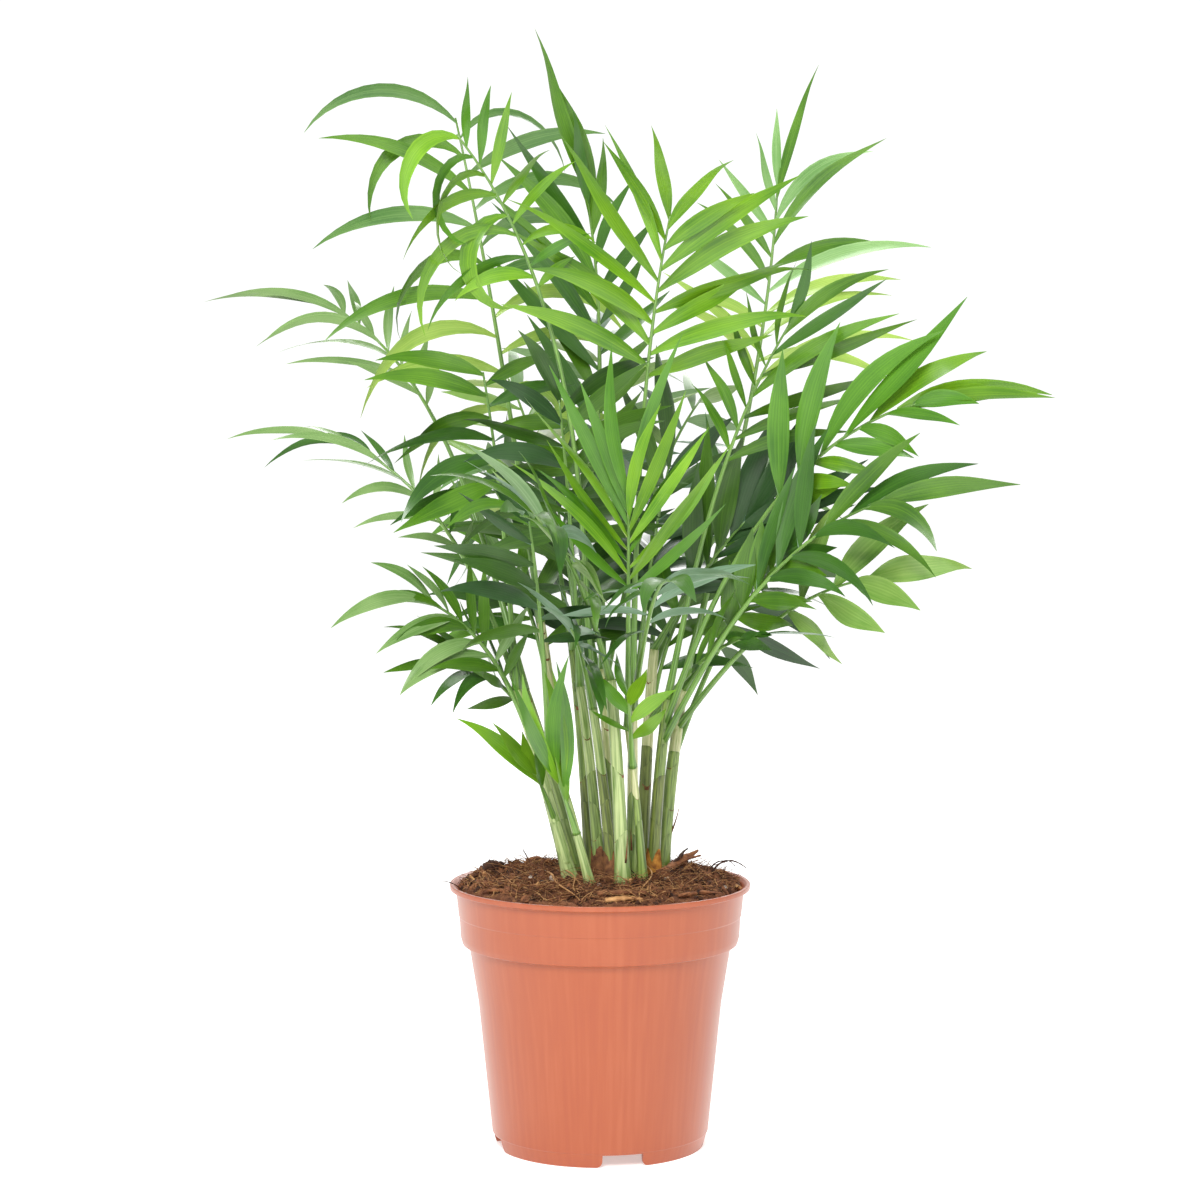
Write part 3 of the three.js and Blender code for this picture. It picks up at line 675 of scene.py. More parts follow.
@dataclass
class Strand:
    """A loose strand that sets off from a point and curls away to one side."""

    start: Vector
    heading: Vector
    curl: Vector
    length: float

    def station(self, share: float) -> Station:
        """Return the place at a share of the strand."""
        onward = (self.heading + self.curl * (2 * share)).normalized()
        point = self.start + (self.heading * share + self.curl * share ** 2) * self.length
        across = onward.orthogonal().normalized()
        return Station(point, across, onward.cross(across))


def skin_tree(rings: Sequence[Sequence[Vector]]) -> BVHTree:
    """Make a search tree of the skin over rings of points. A ring of one point is a tip."""
    corners: list[Vector] = []
    faces: list[tuple[int, int, int]] = []
    for here, after in zip(rings, rings[1:]):
        first = len(corners)
        after_first = first + len(here)
        corners.extend(here)
        for k in range(max(len(here), len(after))):
            a = first + k % len(here)
            b = first + (k + 1) % len(here)
            c = after_first + (k + 1) % len(after)
            d = after_first + k % len(after)
            if len(here) > 1:
                faces.append((a, b, c))
            if len(after) > 1:
                faces.append((a, c, d))
    corners.extend(rings[-1])
    return BVHTree.FromPolygons(corners, faces)


@dataclass
class Obstacle:
    """Something that a new leaflet may not cross, with the frond that owns it."""

    owner: "Frond | None"
    rings: Sequence[Sequence[Vector]]
    low: Vector = field(init=False)
    high: Vector = field(init=False)
    tree: BVHTree = field(init=False)

    def __post_init__(self) -> None:
        """Keep the box and the search tree of the skin over its rings."""
        points = [point for ring in self.rings for point in ring]
        self.low = Vector(tuple(min(p[axis] for p in points) for axis in range(3)))
        self.high = Vector(tuple(max(p[axis] for p in points) for axis in range(3)))
        self.tree = skin_tree(self.rings)

    def meets(self, other: "Obstacle") -> bool:
        """Tell whether it crosses another obstacle of another owner."""
        if self.owner is other.owner:
            return False
        if any(self.high[a] < other.low[a] or other.high[a] < self.low[a] for a in range(3)):
            return False
        return bool(self.tree.overlap(other.tree))


# --- Pot ----------------------------------------------------------------------------------------


@dataclass
class NurseryPot:
    """A tapered cup with a deep band round its top, a thin lip and a notched foot ring."""

    height: float = 105.5
    lip_radius: float = 60.0
    lip_depth: float = 1.9
    band_top_radius: float = 57.6
    band_foot_radius: float = 55.8
    band_foot: float = 84.4
    band_step: float = 92.6
    step_depth: float = 0.3
    band_bevel: float = 0.8
    neck_radius: float = 52.4
    neck: float = 80.8
    waist_radius: float = 48.7
    waist: float = 58.0
    base_radius: float = 43.3
    foot_radius: float = 41.5
    foot_height: float = 5.5
    foot_wall: float = 1.6
    wall: float = 1.3
    edge: float = 0.35
    rounded_from: float = 28.0
    smooth_to: float = 32.0
    sides: int = 144
    notch_count: int = 4
    notch_start: float = -77.7
    notch_width: float = 16.2
    notch_height: float = 5.2
    notch_corner: float = 2.5
    corner_steps: int = 6
    notch_reach: float = 5.0
    drain_count: int = 6
    drain_radius: float = 3.5
    drain_circle: float = 30.0
    finish: Finish = MouldedPolypropylene()

    def inner_profile(self, gap: float) -> list[tuple[float, float]]:
        """Return the radius and height of the inner wall from floor to lip, `gap` inside it."""
        back = self.wall + gap
        return [
            (self.base_radius - back, self.foot_height + back),
            (self.waist_radius - back, self.waist),
            (self.neck_radius - back, self.neck + gap),
            (self.band_foot_radius - back, self.band_foot + gap),
            (self.band_top_radius - back, self.height - self.lip_depth),
        ]

    def outer_profile(self) -> list[tuple[float, float]]:
        """Return the radius and height of the outside, from under the floor to the lip."""
        lip_foot = self.height - self.lip_depth
        rise = (self.band_step - self.band_foot) / (lip_foot - self.band_foot)
        step = self.band_foot_radius + (self.band_top_radius - self.band_foot_radius) * rise
        return [
            (0.0, self.foot_height),
            (self.foot_radius - self.foot_wall, self.foot_height),
            (self.foot_radius - self.foot_wall, 0.0),
            (self.foot_radius, 0.0),
            (self.base_radius - self.step_depth, self.foot_height),
            (self.base_radius, self.foot_height + self.step_depth),
            (self.waist_radius, self.waist),
            (self.neck_radius, self.neck),
            (self.band_foot_radius - self.band_bevel, self.neck + self.band_bevel),
            (self.band_foot_radius, self.band_foot),
            (step - self.step_depth, self.band_step),
            (step, self.band_step + self.step_depth),
            (self.band_top_radius, lip_foot - self.band_bevel),
            (self.lip_radius, lip_foot),
            (self.lip_radius, self.height),
            (self.lip_radius - self.wall, self.height),
        ]

    def shell(self) -> BMesh:
        """Spin the wall and round its edges."""
        bm = bmesh.new()
        profile = [*self.outer_profile(), *reversed(self.inner_profile(0.0))]
        profile.append((0.0, self.foot_height + self.wall))
        rail = [bm.verts.new((radius, 0.0, height)) for radius, height in profile]
        edges = [bm.edges.new(pair) for pair in zip(rail, rail[1:])]
        bmesh.ops.spin(bm, geom=[*rail, *edges], cent=(0, 0, 0), axis=UP, dvec=(0, 0, 0),
                       angle=math.tau, steps=self.sides, use_merge=True)
        bmesh.ops.remove_doubles(bm, verts=bm.verts, dist=0.01)
        bmesh.ops.recalc_face_normals(bm, faces=bm.faces)
        limit = math.radians(self.rounded_from)
        sharp = [e for e in bm.edges if e.is_manifold and e.calc_face_angle() > limit]
        bmesh.ops.bevel(bm, geom=sharp, offset=self.edge, segments=3, profile=0.5,
                        affect="EDGES", material=-1, clamp_overlap=True)
        return bm

    def notch_outline(self) -> list[tuple[float, float]]:
        """Return the outline of a notch, with corners rounded off at the ground."""
        half = self.notch_width / 2
        corner = self.notch_corner
        steps = self.corner_steps
        turns = [math.radians(90 * k / steps) for k in range(steps + 1)]
        right = [(half + corner * (1 - math.sin(t)), corner * (1 - math.cos(t))) for t in turns]
        left = [(-across, rise) for across, rise in reversed(right)]
        top = self.notch_height
        return [(half + corner, -corner), *right, (half, top), (-half, top), *left,
                (-half - corner, -corner)]

    def cutter(self) -> BMesh:
        """Extrude the notches and the drain holes."""
        bm = bmesh.new()
        for k in range(self.notch_count):
            turn = math.radians(self.notch_start + k * 360 / self.notch_count)
            near = self.foot_radius - self.notch_reach
            corners = [bm.verts.new((near, across, rise)) for across, rise in self.notch_outline()]
            outline = bm.faces.new(corners)
            grown = bmesh.ops.extrude_face_region(bm, geom=[outline])["geom"]
            far = [v for v in grown if isinstance(v, BMVert)]
            bmesh.ops.translate(bm, verts=far, vec=(2 * self.notch_reach, 0, 0))
            bmesh.ops.rotate(bm, verts=[*corners, *far], cent=(0, 0, 0),
                             matrix=Matrix.Rotation(turn, 3, "Z"))
        for k in range(self.drain_count):
            turn = (k + 0.5) * math.tau / self.drain_count
            centre = (self.drain_circle * math.cos(turn), self.drain_circle * math.sin(turn),
                      self.foot_height)
            bmesh.ops.create_cone(bm, cap_ends=True, segments=24, radius1=self.drain_radius,
                                  radius2=self.drain_radius, depth=4 * self.wall,
                                  matrix=Matrix.Translation(centre))
        bmesh.ops.recalc_face_normals(bm, faces=bm.faces)
        return bm

    def build(self) -> Object:
        """Cut the shell and make the pot.

        Returns:
            The pot's piece.
        """
        cutter = self.cutter()
        bmesh.ops.scale(cutter, vec=(MM, MM, MM), verts=cutter.verts)
        tool = add_object("pot_cutter", mesh_from("pot_cutter", cutter))
        pot = piece_from("nursery_pot", self.shell(), [self.finish.material()], ["pot"])
        cut = pot.modifiers.new("cut", "BOOLEAN")
        cut.operation = "DIFFERENCE"
        cut.solver = "EXACT"
        cut.object = tool
        bake(pot)
        bpy.data.objects.remove(tool)
        pot.data.shade_smooth()
        pot.data.set_sharp_from_angle(angle=math.radians(self.smooth_to))
        return pot


# --- Compost ------------------------------------------------------------------------------------


class Litter(Kinds):
    """What lies loose on the compost."""

    EARTH = CoirCompost()
    DARK = DryFibre("root_dark", "#24150f", "#4a2e20")
    BROWN = DryFibre("coir_brown", "#5e3826", "#96633f")
    TAN = DryFibre("coir_tan", "#9c6b42", "#cfa06b")
    PERLITE = DryFibre("perlite", "#a89a8c", "#d8d0c6")


@dataclass(frozen=True)
class Straw:
    """A long strand, stick or root that lies on the compost or bows up from it."""

    start: tuple[float, float, float]
    end: tuple[float, float, float]
    bow: float
    radius: float
    kind: Litter

    waves = 7.0
    wave_shift = 40.0
    sway = 0.03
    lumps = 9.0
    lump_shift = 50.0
    lump_height = 0.5
    thinning = 0.55

    def station(self, share: float) -> Station:
        """Return the place at a share of the straw."""
        first = Vector(self.start)
        chord = Vector(self.end) - first
        across = chord.cross(UP).normalized()
        wave = math.sin(self.waves * share + self.wave_shift * self.radius)
        sway = wave * self.sway * chord.length
        rise = UP * (4 * self.bow * share * (1 - share))
        point = first + chord * share + rise + across * sway
        return Station(point, across, across.cross(chord).normalized())

    def thickness(self, share: float) -> float:
        """Return the radius at a share of the straw: lumpy, and thinner at its end."""
        lump = noise.noise(Vector((self.lumps * share, self.lump_shift * self.radius, self.bow)))
        return self.radius * (1 - self.thinning * share ** 2) * (1 + self.lump_height * lump)


STRAWS = (
    Straw((-22, -12, 111.5), (-9, -53, 107), 1.2, 0.42, Litter.TAN),
    Straw((-15, 4, 111.6), (-8.5, -42, 109), 0.9, 0.34, Litter.TAN),
    Straw((20, 8, 112), (16.5, -55, 106.6), 1.6, 0.36, Litter.TAN),
    Straw((2, -53, 107), (16, -51, 107.2), 0.4, 1.1, Litter.TAN),
    Straw((-1, -46, 108.2), (18, -44, 108.4), 0.5, 1.2, Litter.BROWN),
    Straw((23, -2, 109), (39, 22, 115), -0.6, 1.9, Litter.BROWN),
    Straw((27, 4, 110), (36, 20, 116), 0.6, 0.9, Litter.DARK),
    Straw((31, 9, 111), (41, 18, 113.5), 0.8, 0.7, Litter.BROWN),
    Straw((45, 1, 109), (55, 12, 110), 3.6, 0.42, Litter.DARK),
    Straw((50, 8, 112.6), (59, 14, 109), 1.4, 0.34, Litter.DARK),
    Straw((44, 9, 109), (51, 3, 113), 1.8, 0.3, Litter.DARK),
    Straw((-47, 12, 109.6), (-39, 15, 110), 0.4, 2.4, Litter.DARK),
    Straw((-30, 36, 108.5), (-19, 30, 109), 0.8, 1.5, Litter.BROWN),
    Straw((-55, -17, 105.6), (-62, -20, 109), 0.8, 0.24, Litter.DARK),
    Straw((30, -42, 107), (47, -33, 106.6), 0.6, 0.8, Litter.BROWN),
    Straw((-44, -30, 106.8), (-30, -38, 107.4), 0.7, 0.9, Litter.BROWN),
)


@dataclass
class Compost:
    """A heap of fibrous compost that fills the pot, with crumbs, bark and coir on top."""

    pot: NurseryPot
    gap: float = 0.3
    crown: float = 108.5
    hollow: float = 0.8
    flat_radius: float = 35.0
    edge_height: float = 105.4
    body_drop: float = 1.5
    cell: float = 0.75
    clod_mm: float = 8.0
    clod_lift: float = 2.0
    clod_layers: tuple[float, float, int] = (0.8, 2.1, 3)
    grit_mm: float = 2.1
    grit_lift: float = 1.0
    calm_edge: float = 0.4
    crumbs: int = 900
    crumb_size: tuple[float, float] = (0.5, 1.7)
    crumb_length: tuple[float, float] = (1.0, 2.4)
    crumb_height: tuple[float, float] = (0.4, 0.8)
    crumb_kinds: tuple[int, ...] = (50, 22, 22, 4, 2)
    crumb_over: float = 0.5
    knob_mm: float = 1.3
    knob_depth: float = 0.35
    strands: int = 5200
    strand_rise: tuple[float, float] = (-0.1, 0.8)
    strand_curl: float = 0.6
    strand_fall: tuple[float, float] = (-0.7, 0.0)
    strand_lift: tuple[float, float] = (-0.3, 0.5)
    strand_length: tuple[float, float] = (3.0, 12.0)
    strand_radius: tuple[float, float] = (0.1, 0.24)
    strand_root: float = 1.2
    strand_kinds: tuple[int, ...] = (22, 50, 28)
    deepest: float = 3.0
    over_rim: float = 2.6
    dice: random.Random = field(default_factory=lambda: random.Random(SEED))

    @property
    def edge(self) -> float:
        """Radius at which the heap meets the pot."""
        return self.pot.band_top_radius - self.pot.wall - self.gap

    def height(self, x: float, y: float) -> float:
        """Height of the heap over a place, with its clods."""
        away = (math.hypot(x, y) - self.flat_radius) / (self.edge - self.flat_radius)
        fall = min(max(away, 0.0), 1.0) ** 2
        level = self.crown - self.hollow + (self.edge_height - self.crown + self.hollow) * fall
        spot = Vector((x, y, 0.0))
        coarse = self.clod_lift * noise.fractal(spot / self.clod_mm, *self.clod_layers)
        fine = self.grit_lift * noise.noise(spot / self.grit_mm)
        return level + (coarse + fine) * (1 - self.calm_edge * fall)

    def heap(self) -> Object:
        """Raise the heap's surface over a body that fills the pot."""
        bm = bmesh.new()
        cells = round(2 * self.edge / self.cell)
        bmesh.ops.create_grid(bm, x_segments=cells, y_segments=cells, size=self.edge)
        outside = [v for v in bm.verts if v.co.length > self.edge]
        bmesh.ops.delete(bm, geom=outside, context="VERTS")
        for vert in (v for v in bm.verts if v.is_boundary):
            vert.co *= self.edge / vert.co.length
        for vert in bm.verts:
            vert.co.z = self.height(vert.co.x, vert.co.y)
        rim = [e for e in bm.edges if e.is_boundary]
        for radius, height in reversed(self.pot.inner_profile(self.gap)):
            grown = bmesh.ops.extrude_edge_only(bm, edges=rim)["geom"]
            rim = [e for e in grown if isinstance(e, BMEdge)]
            for vert in (v for v in grown if isinstance(v, BMVert)):
                flat = Vector((vert.co.x, vert.co.y, 0.0)).normalized() * radius
                vert.co = Vector((flat.x, flat.y, height - self.body_drop))
        bmesh.ops.edgeloop_fill(bm, edges=rim)
        bmesh.ops.recalc_face_normals(bm, faces=bm.faces)
        for face in bm.faces:
            face.smooth = True
        earth = Litter.EARTH.value.material()
        return piece_from("compost_heap", bm, [earth], ["compost"])

    def spot(self, reach: float) -> Vector:
        """Pick a place on the heap within a radius."""
        turn = self.dice.uniform(0, math.tau)
        radius = reach * math.sqrt(self.dice.random())
        x = radius * math.cos(turn)
        y = radius * math.sin(turn)
        return Vector((x, y, self.height(x, y)))

    def crumb(self, bm: BMesh) -> None:
        """Drop one crumb of earth, bark or perlite on the heap."""
        size = self.dice.uniform(*self.crumb_size)
        spot = self.spot(self.edge + self.crumb_over)
        turned = Quaternion((self.dice.random() - 0.5 for _ in range(4))).normalized()
        stretch = Matrix.Diagonal((size * self.dice.uniform(*self.crumb_length), size,
                                   size * self.dice.uniform(*self.crumb_height), 1.0))
        frame_at = Matrix.Translation(spot) @ turned.to_matrix().to_4x4() @ stretch
        made = bmesh.ops.create_icosphere(bm, subdivisions=1, radius=1.0, matrix=frame_at)
        kind = self.dice.choices(list(Litter), self.crumb_kinds)[0]
        for vert in made["verts"]:
            vert.co += noise.noise_vector(vert.co / self.knob_mm) * (self.knob_depth * size)
            for face in vert.link_faces:
                face.material_index = kind.number

    def strand(self, bm: BMesh, stock: Stock) -> None:
        """Lay one curled strand of coir or fine root on the heap, unless it would leave the pot."""
        start = self.spot(self.edge)
        turn = self.dice.uniform(0, math.tau)
        heading = Vector((math.cos(turn), math.sin(turn), self.dice.uniform(*self.strand_rise)))
        curl = Vector((self.dice.gauss(0, self.strand_curl), self.dice.gauss(0, self.strand_curl),
                       self.dice.uniform(*self.strand_fall)))
        path = Strand(start + UP * self.dice.uniform(*self.strand_lift), heading, curl,
                      self.dice.uniform(*self.strand_length))
        end = path.station(1.0).point
        thick = self.dice.uniform(*self.strand_radius)
        kinds = (Litter.DARK, Litter.BROWN, Litter.TAN)
        kind = self.dice.choices(kinds, self.strand_kinds)[0]
        beyond = math.hypot(end.x, end.y) - self.edge
        if beyond < self.over_rim and end.z > self.height(end.x, end.y) - self.deepest:
            stock.lay(bm, path, round_section(lambda share: thick * (self.strand_root - share)),
                      lambda middle: kind.number)

    def build(self) -> None:
        """Make the heap and everything on it."""
        self.heap()
        kinds = Litter.materials()
        crumbs = bmesh.new()
        for _ in range(self.crumbs):
            self.crumb(crumbs)
        piece_from("compost_crumbs", crumbs, kinds)
        fibre = bmesh.new()
        thread = tube_stock(3, 4)
        for _ in range(self.strands):
            self.strand(fibre, thread)
        piece_from("compost_fibre", fibre, kinds)
        sticks = bmesh.new()
        stick = tube_stock(7, 16)
        for straw in STRAWS:
            stick.lay(sticks, straw, round_section(straw.thickness),
                      lambda middle: straw.kind.number)
        piece_from("compost_straws", sticks, kinds)


# --- Canes --------------------------------------------------------------------------------------


@dataclass(frozen=True)
class CaneSpec:
    """One cane: where it stands, where it ends, and its radius above its swollen base."""

    foot: tuple[float, float]
    top: tuple[float, float, float]
    girth: float


CANES = (
    CaneSpec((-12, -6), (-33, -12, 184), 2.4),
    CaneSpec((-8, 6), (-30, 6, 182), 2.2),
    CaneSpec((-12, 19), (-24, 24, 208), 2.0),
    CaneSpec((-4, -22), (-20, -25, 165), 1.7),
    CaneSpec((-4, 15), (-11, 20, 197), 2.1),
    CaneSpec((0, 3), (-8, 4, 184), 2.2),
    CaneSpec((5, -9), (-4, -10, 184), 2.1),
    CaneSpec((9, -18), (4, -22, 189), 2.7),
    CaneSpec((13, -1), (13, -3, 183), 2.2),
    CaneSpec((17, 20), (22, 24, 197), 2.4),
    CaneSpec((21, 2), (27, 1, 179), 2.4),
    CaneSpec((25, 13), (34, 15, 185), 2.5),
    CaneSpec((17, -12), (11, -17, 169), 1.6),
    CaneSpec((5, 25), (1, 34, 188), 2.2),
)


@dataclass
class Cane:
    """A slender cane: its core, on which the leaf sheaths are wrapped."""

    number: int
    spec: CaneSpec
    ground: float
    bend: float = 4.0
    flare: float = 1.35
    flare_fall: float = 14.0
    taper: float = 0.82
    skin_shares: tuple[float, ...] = (0.0, 0.08, 0.18, 0.55, 1.0)
    skin_sides: int = 6
    limb: Limb = field(init=False)

    def __post_init__(self) -> None:
        """Fit the cane's line between its foot and its top."""
        foot = Vector((*self.spec.foot, self.ground))
        self.limb = Limb(foot, Vector(self.spec.top), self.bend)

    def radius(self, share: float) -> float:
        """Return the cane's radius at a share of its height."""
        flare = (self.flare - 1) * math.exp(-self.flare_fall * max(share, 0.0))
        return self.spec.girth * (1 - (1 - self.taper) * share + flare)

    def obstacle(self) -> Obstacle:
        """Return the cane as something that leaflets grow clear of."""
        return Obstacle(None, [self.limb.station(share).ring(self.radius(share), self.skin_sides)
                               for share in self.skin_shares])


class Skin(Kinds):
    """What covers a stretch of cane: living sheaths of several greens, bare cane or dead husk."""

    GREEN = StemSkin("sheath_green", "#415c1b", "#90a856")
    PALE = StemSkin("sheath_pale", "#5b7a2b", "#b4c583")
    OLIVE = StemSkin("sheath_olive", "#364515", "#7c8a3d")
    CREAM = StemSkin("bare_cane", "#8b9a55", "#d2d2a0")
    HUSK = DryFibre("dry_husk", "#46291b", "#8c5f3a")
    AMBER = DryFibre("amber_foot", "#6e3d14", "#bf8536")


@dataclass(frozen=True)
class Wrapping:
    """How a cane is wrapped, from the ground up.

    Its old sheaths end at the shares `mouths` of its height. They are `lower` in colour, the cane
    above the last of them is `upper`, and a swollen `foot` stands in the compost where there is one.
    """

    mouths: tuple[float, ...]
    lower: Skin
    upper: Skin
    foot: Skin | None = None


WRAPPINGS = (
    Wrapping((0.18, 0.3, 0.47), Skin.PALE, Skin.PALE),
    Wrapping((0.3, 0.59), Skin.GREEN, Skin.PALE),
    Wrapping((0.16, 0.43, 0.68), Skin.OLIVE, Skin.CREAM),
    Wrapping((0.35, 0.6), Skin.PALE, Skin.GREEN),
    Wrapping((0.31, 0.45), Skin.OLIVE, Skin.GREEN),
    Wrapping((0.24, 0.39, 0.55), Skin.GREEN, Skin.PALE, Skin.HUSK),
    Wrapping((0.25, 0.42, 0.61), Skin.OLIVE, Skin.PALE, Skin.HUSK),
    Wrapping((0.26, 0.59), Skin.PALE, Skin.PALE),
    Wrapping((0.24, 0.47), Skin.GREEN, Skin.CREAM),
    Wrapping((0.43, 0.56), Skin.OLIVE, Skin.CREAM),
    Wrapping((0.32, 0.57), Skin.OLIVE, Skin.GREEN, Skin.AMBER),
    Wrapping((0.2, 0.38, 0.63), Skin.GREEN, Skin.CREAM),
    Wrapping((0.4, 0.61), Skin.GREEN, Skin.CREAM),
    Wrapping((0.34, 0.57), Skin.GREEN, Skin.CREAM),
)


@dataclass(frozen=True)
class Sheath:
    """A leaf sheath round a cane. Its rim dips to a dry point on each side on which it opens."""

    cane: Cane
    first: float
    mouth: float
    thickness: float
    opening: float
    dip: float = 5.5
    crowding: float = 1.8
    points: int = 1
    swelling: float = 0.0

    swell_skew = 0.7
    dry_rings = 3.0
    dry_spread = 9.0

    def share(self, along: float) -> float:
        """Return the share of the cane's height, with the rings crowded towards the mouth."""
        return self.first + (self.mouth - self.first) * (1 - (1 - along) ** self.crowding)

    def station(self, along: float) -> Station:
        """Return the place on the cane at a share of the sheath."""
        return self.cane.limb.station(self.share(along))

    def open_share(self, x: float, y: float) -> float:
        """Return how far a place round the tube is on the open side, from 0 to 1."""
        return 0.5 + 0.5 * math.cos(self.points * (math.atan2(y, x) - self.opening))

    def section(self, flat: Vector, station: Station) -> Vector:
        """Wrap one point of the tube round the cane."""
        onward = station.across.cross(station.up)
        swell = self.swelling * math.sin(math.pi * flat.z ** self.swell_skew)
        radius = self.cane.radius(self.share(flat.z)) + self.thickness + swell
        dip = self.dip * self.open_share(flat.x, flat.y) ** 2 * flat.z ** 2
        round_cane = (station.across * flat.x + station.up * flat.y) * radius
        return station.point + round_cane - onward * dip

    def is_dry(self, middle: Vector, steps: int) -> bool:
        """Tell whether a face of the tube is in the dry point of the rim."""
        closed = 1 - self.open_share(middle.x, middle.y)
        return middle.z > 1 - (self.dry_rings - self.dry_spread * closed) / steps


@dataclass(frozen=True)
class Spike:
    """A dry split end of an old sheath: where it stands off its cane, and how long it is."""

    cane: int
    share: float
    azimuth: float
    length: float


SPIKES = (
    Spike(11, 0.2, -15, 13.5),
    Spike(9, 0.16, -110, 7.5),
    Spike(8, 0.14, -100, 10.0),
    Spike(7, 0.1, -60, 12.0),
    Spike(2, 0.3, 95, 9.0),
    Spike(13, 0.25, 70, 11.0),
)


@dataclass
class Clump:
    """All the canes that rise from the compost, with the sheaths round them."""

    ground: float
    canes: list[Cane] = field(init=False)
    sunk: float = -0.05
    step_mm: float = 0.05
    husk_mm: float = 0.45
    husk_swelling: float = 0.5
    husk_top: float = 0.15
    golden_angle: float = 137.5
    overlap: float = 0.12
    spike_lean: float = 0.32
    spike_curl: float = -0.12
    spike_radius: float = 0.55
    spike_taper: float = 0.7

    def __post_init__(self) -> None:
        """Stand the canes on the compost."""
        self.canes = [Cane(k, spec, self.ground) for k, spec in enumerate(CANES)]

    def sheaths(self, cane: Cane, wrapping: Wrapping) -> list[tuple[Sheath, Skin]]:
        """Work out the sheaths of a cane: the old ones, and one below each frond.

        Args:
            cane: the cane that they wrap.
            wrapping: how it is wrapped.

        Returns:
            Each sheath and its skin, from the ground up.
        """
        openings = {mouth: math.radians(self.golden_angle * (cane.number + k))
                    for k, mouth in enumerate(wrapping.mouths)}
        for spec in (spec for spec in FRONDS if spec.cane == cane.number):
            here = cane.limb.station(spec.start)
            away = here.point - Vector(spec.tip)
            openings[spec.start] = math.atan2(away.dot(here.up), away.dot(here.across))
        made = []
        first = self.sunk
        last_old = max(wrapping.mouths)
        for rank, (mouth, opening) in enumerate(sorted(openings.items())):
            thickness = self.step_mm * (len(openings) - rank)
            skin = wrapping.lower if mouth <= last_old else wrapping.upper
            made.append((Sheath(cane, first, mouth, thickness, opening), skin))
            first = mouth - self.overlap
        return made

    def wrap(self) -> Object:
        """Make the canes with their sheaths and their swollen feet."""
        bm = bmesh.new()
        core = tube_stock(14, 24)
        wrap = tube_stock(16, 12)
        for cane, wrapping in zip(self.canes, WRAPPINGS):
            core.lay(bm, Stretch(cane.limb, self.sunk, 1.0), round_section(cane.radius),
                     lambda middle: wrapping.upper.number)
            for sheath, skin in self.sheaths(cane, wrapping):
                wrap.lay(bm, sheath, sheath.section, lambda middle: (
                    Skin.HUSK if sheath.is_dry(middle, wrap.steps) else skin).number)
            if wrapping.foot:
                opening = math.radians(self.golden_angle * cane.number)
                husk = Sheath(cane, self.sunk, self.husk_top, self.husk_mm, opening,
                              crowding=1.0, points=3, swelling=self.husk_swelling)
                wrap.lay(bm, husk, husk.section, lambda middle: wrapping.foot.number)
        nodes = [f"cane_{cane.number + 1}" for cane in self.canes]
        return piece_from("canes", bm, Skin.materials(), nodes)

    def spikes(self) -> Object:
        """Make the dry spikes that stand off the canes."""
        bm = bmesh.new()
        stock = tube_stock(4, 6)
        for spike in SPIKES:
            cane = self.canes[spike.cane]
            azimuth = math.radians(spike.azimuth)
            out = Vector((math.cos(azimuth), math.sin(azimuth), 0.0))
            start = cane.limb.point(spike.share) + out * cane.radius(spike.share)
            heading = (cane.limb.direction(spike.share) + out * self.spike_lean).normalized()
            pointed = round_section(
                lambda along: self.spike_radius * (1 - along) ** self.spike_taper)
            stock.lay(bm, Strand(start, heading, out * self.spike_curl, spike.length), pointed)
        return piece_from("sheath_spikes", bm, [Skin.HUSK.value.material()])

    def build(self) -> None:
        """Make the canes and everything on them."""
        self.wrap()
        self.spikes()


# --- Fronds -------------------------------------------------------------------------------------


@dataclass(frozen=True)
class FrondSpec:
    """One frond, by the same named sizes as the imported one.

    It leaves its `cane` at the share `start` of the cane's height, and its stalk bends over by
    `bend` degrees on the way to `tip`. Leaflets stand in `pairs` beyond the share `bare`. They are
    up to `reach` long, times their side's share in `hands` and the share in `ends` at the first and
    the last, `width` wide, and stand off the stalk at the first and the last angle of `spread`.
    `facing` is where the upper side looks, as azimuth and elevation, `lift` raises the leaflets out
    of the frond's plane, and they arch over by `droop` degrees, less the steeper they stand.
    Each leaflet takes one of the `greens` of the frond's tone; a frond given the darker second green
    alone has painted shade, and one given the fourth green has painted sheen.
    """

    cane: int
    start: float
    tip: tuple[float, float, float]
    bend: float
    bare: float
    pairs: int
    reach: float
    width: float
    spread: tuple[float, float]
    hands: tuple[float, float]
    ends: tuple[float, float]
    facing: tuple[float, float]
    lift: float
    droop: float
    tone: Tone
    greens: tuple[int, ...] = (0, 1, 2)


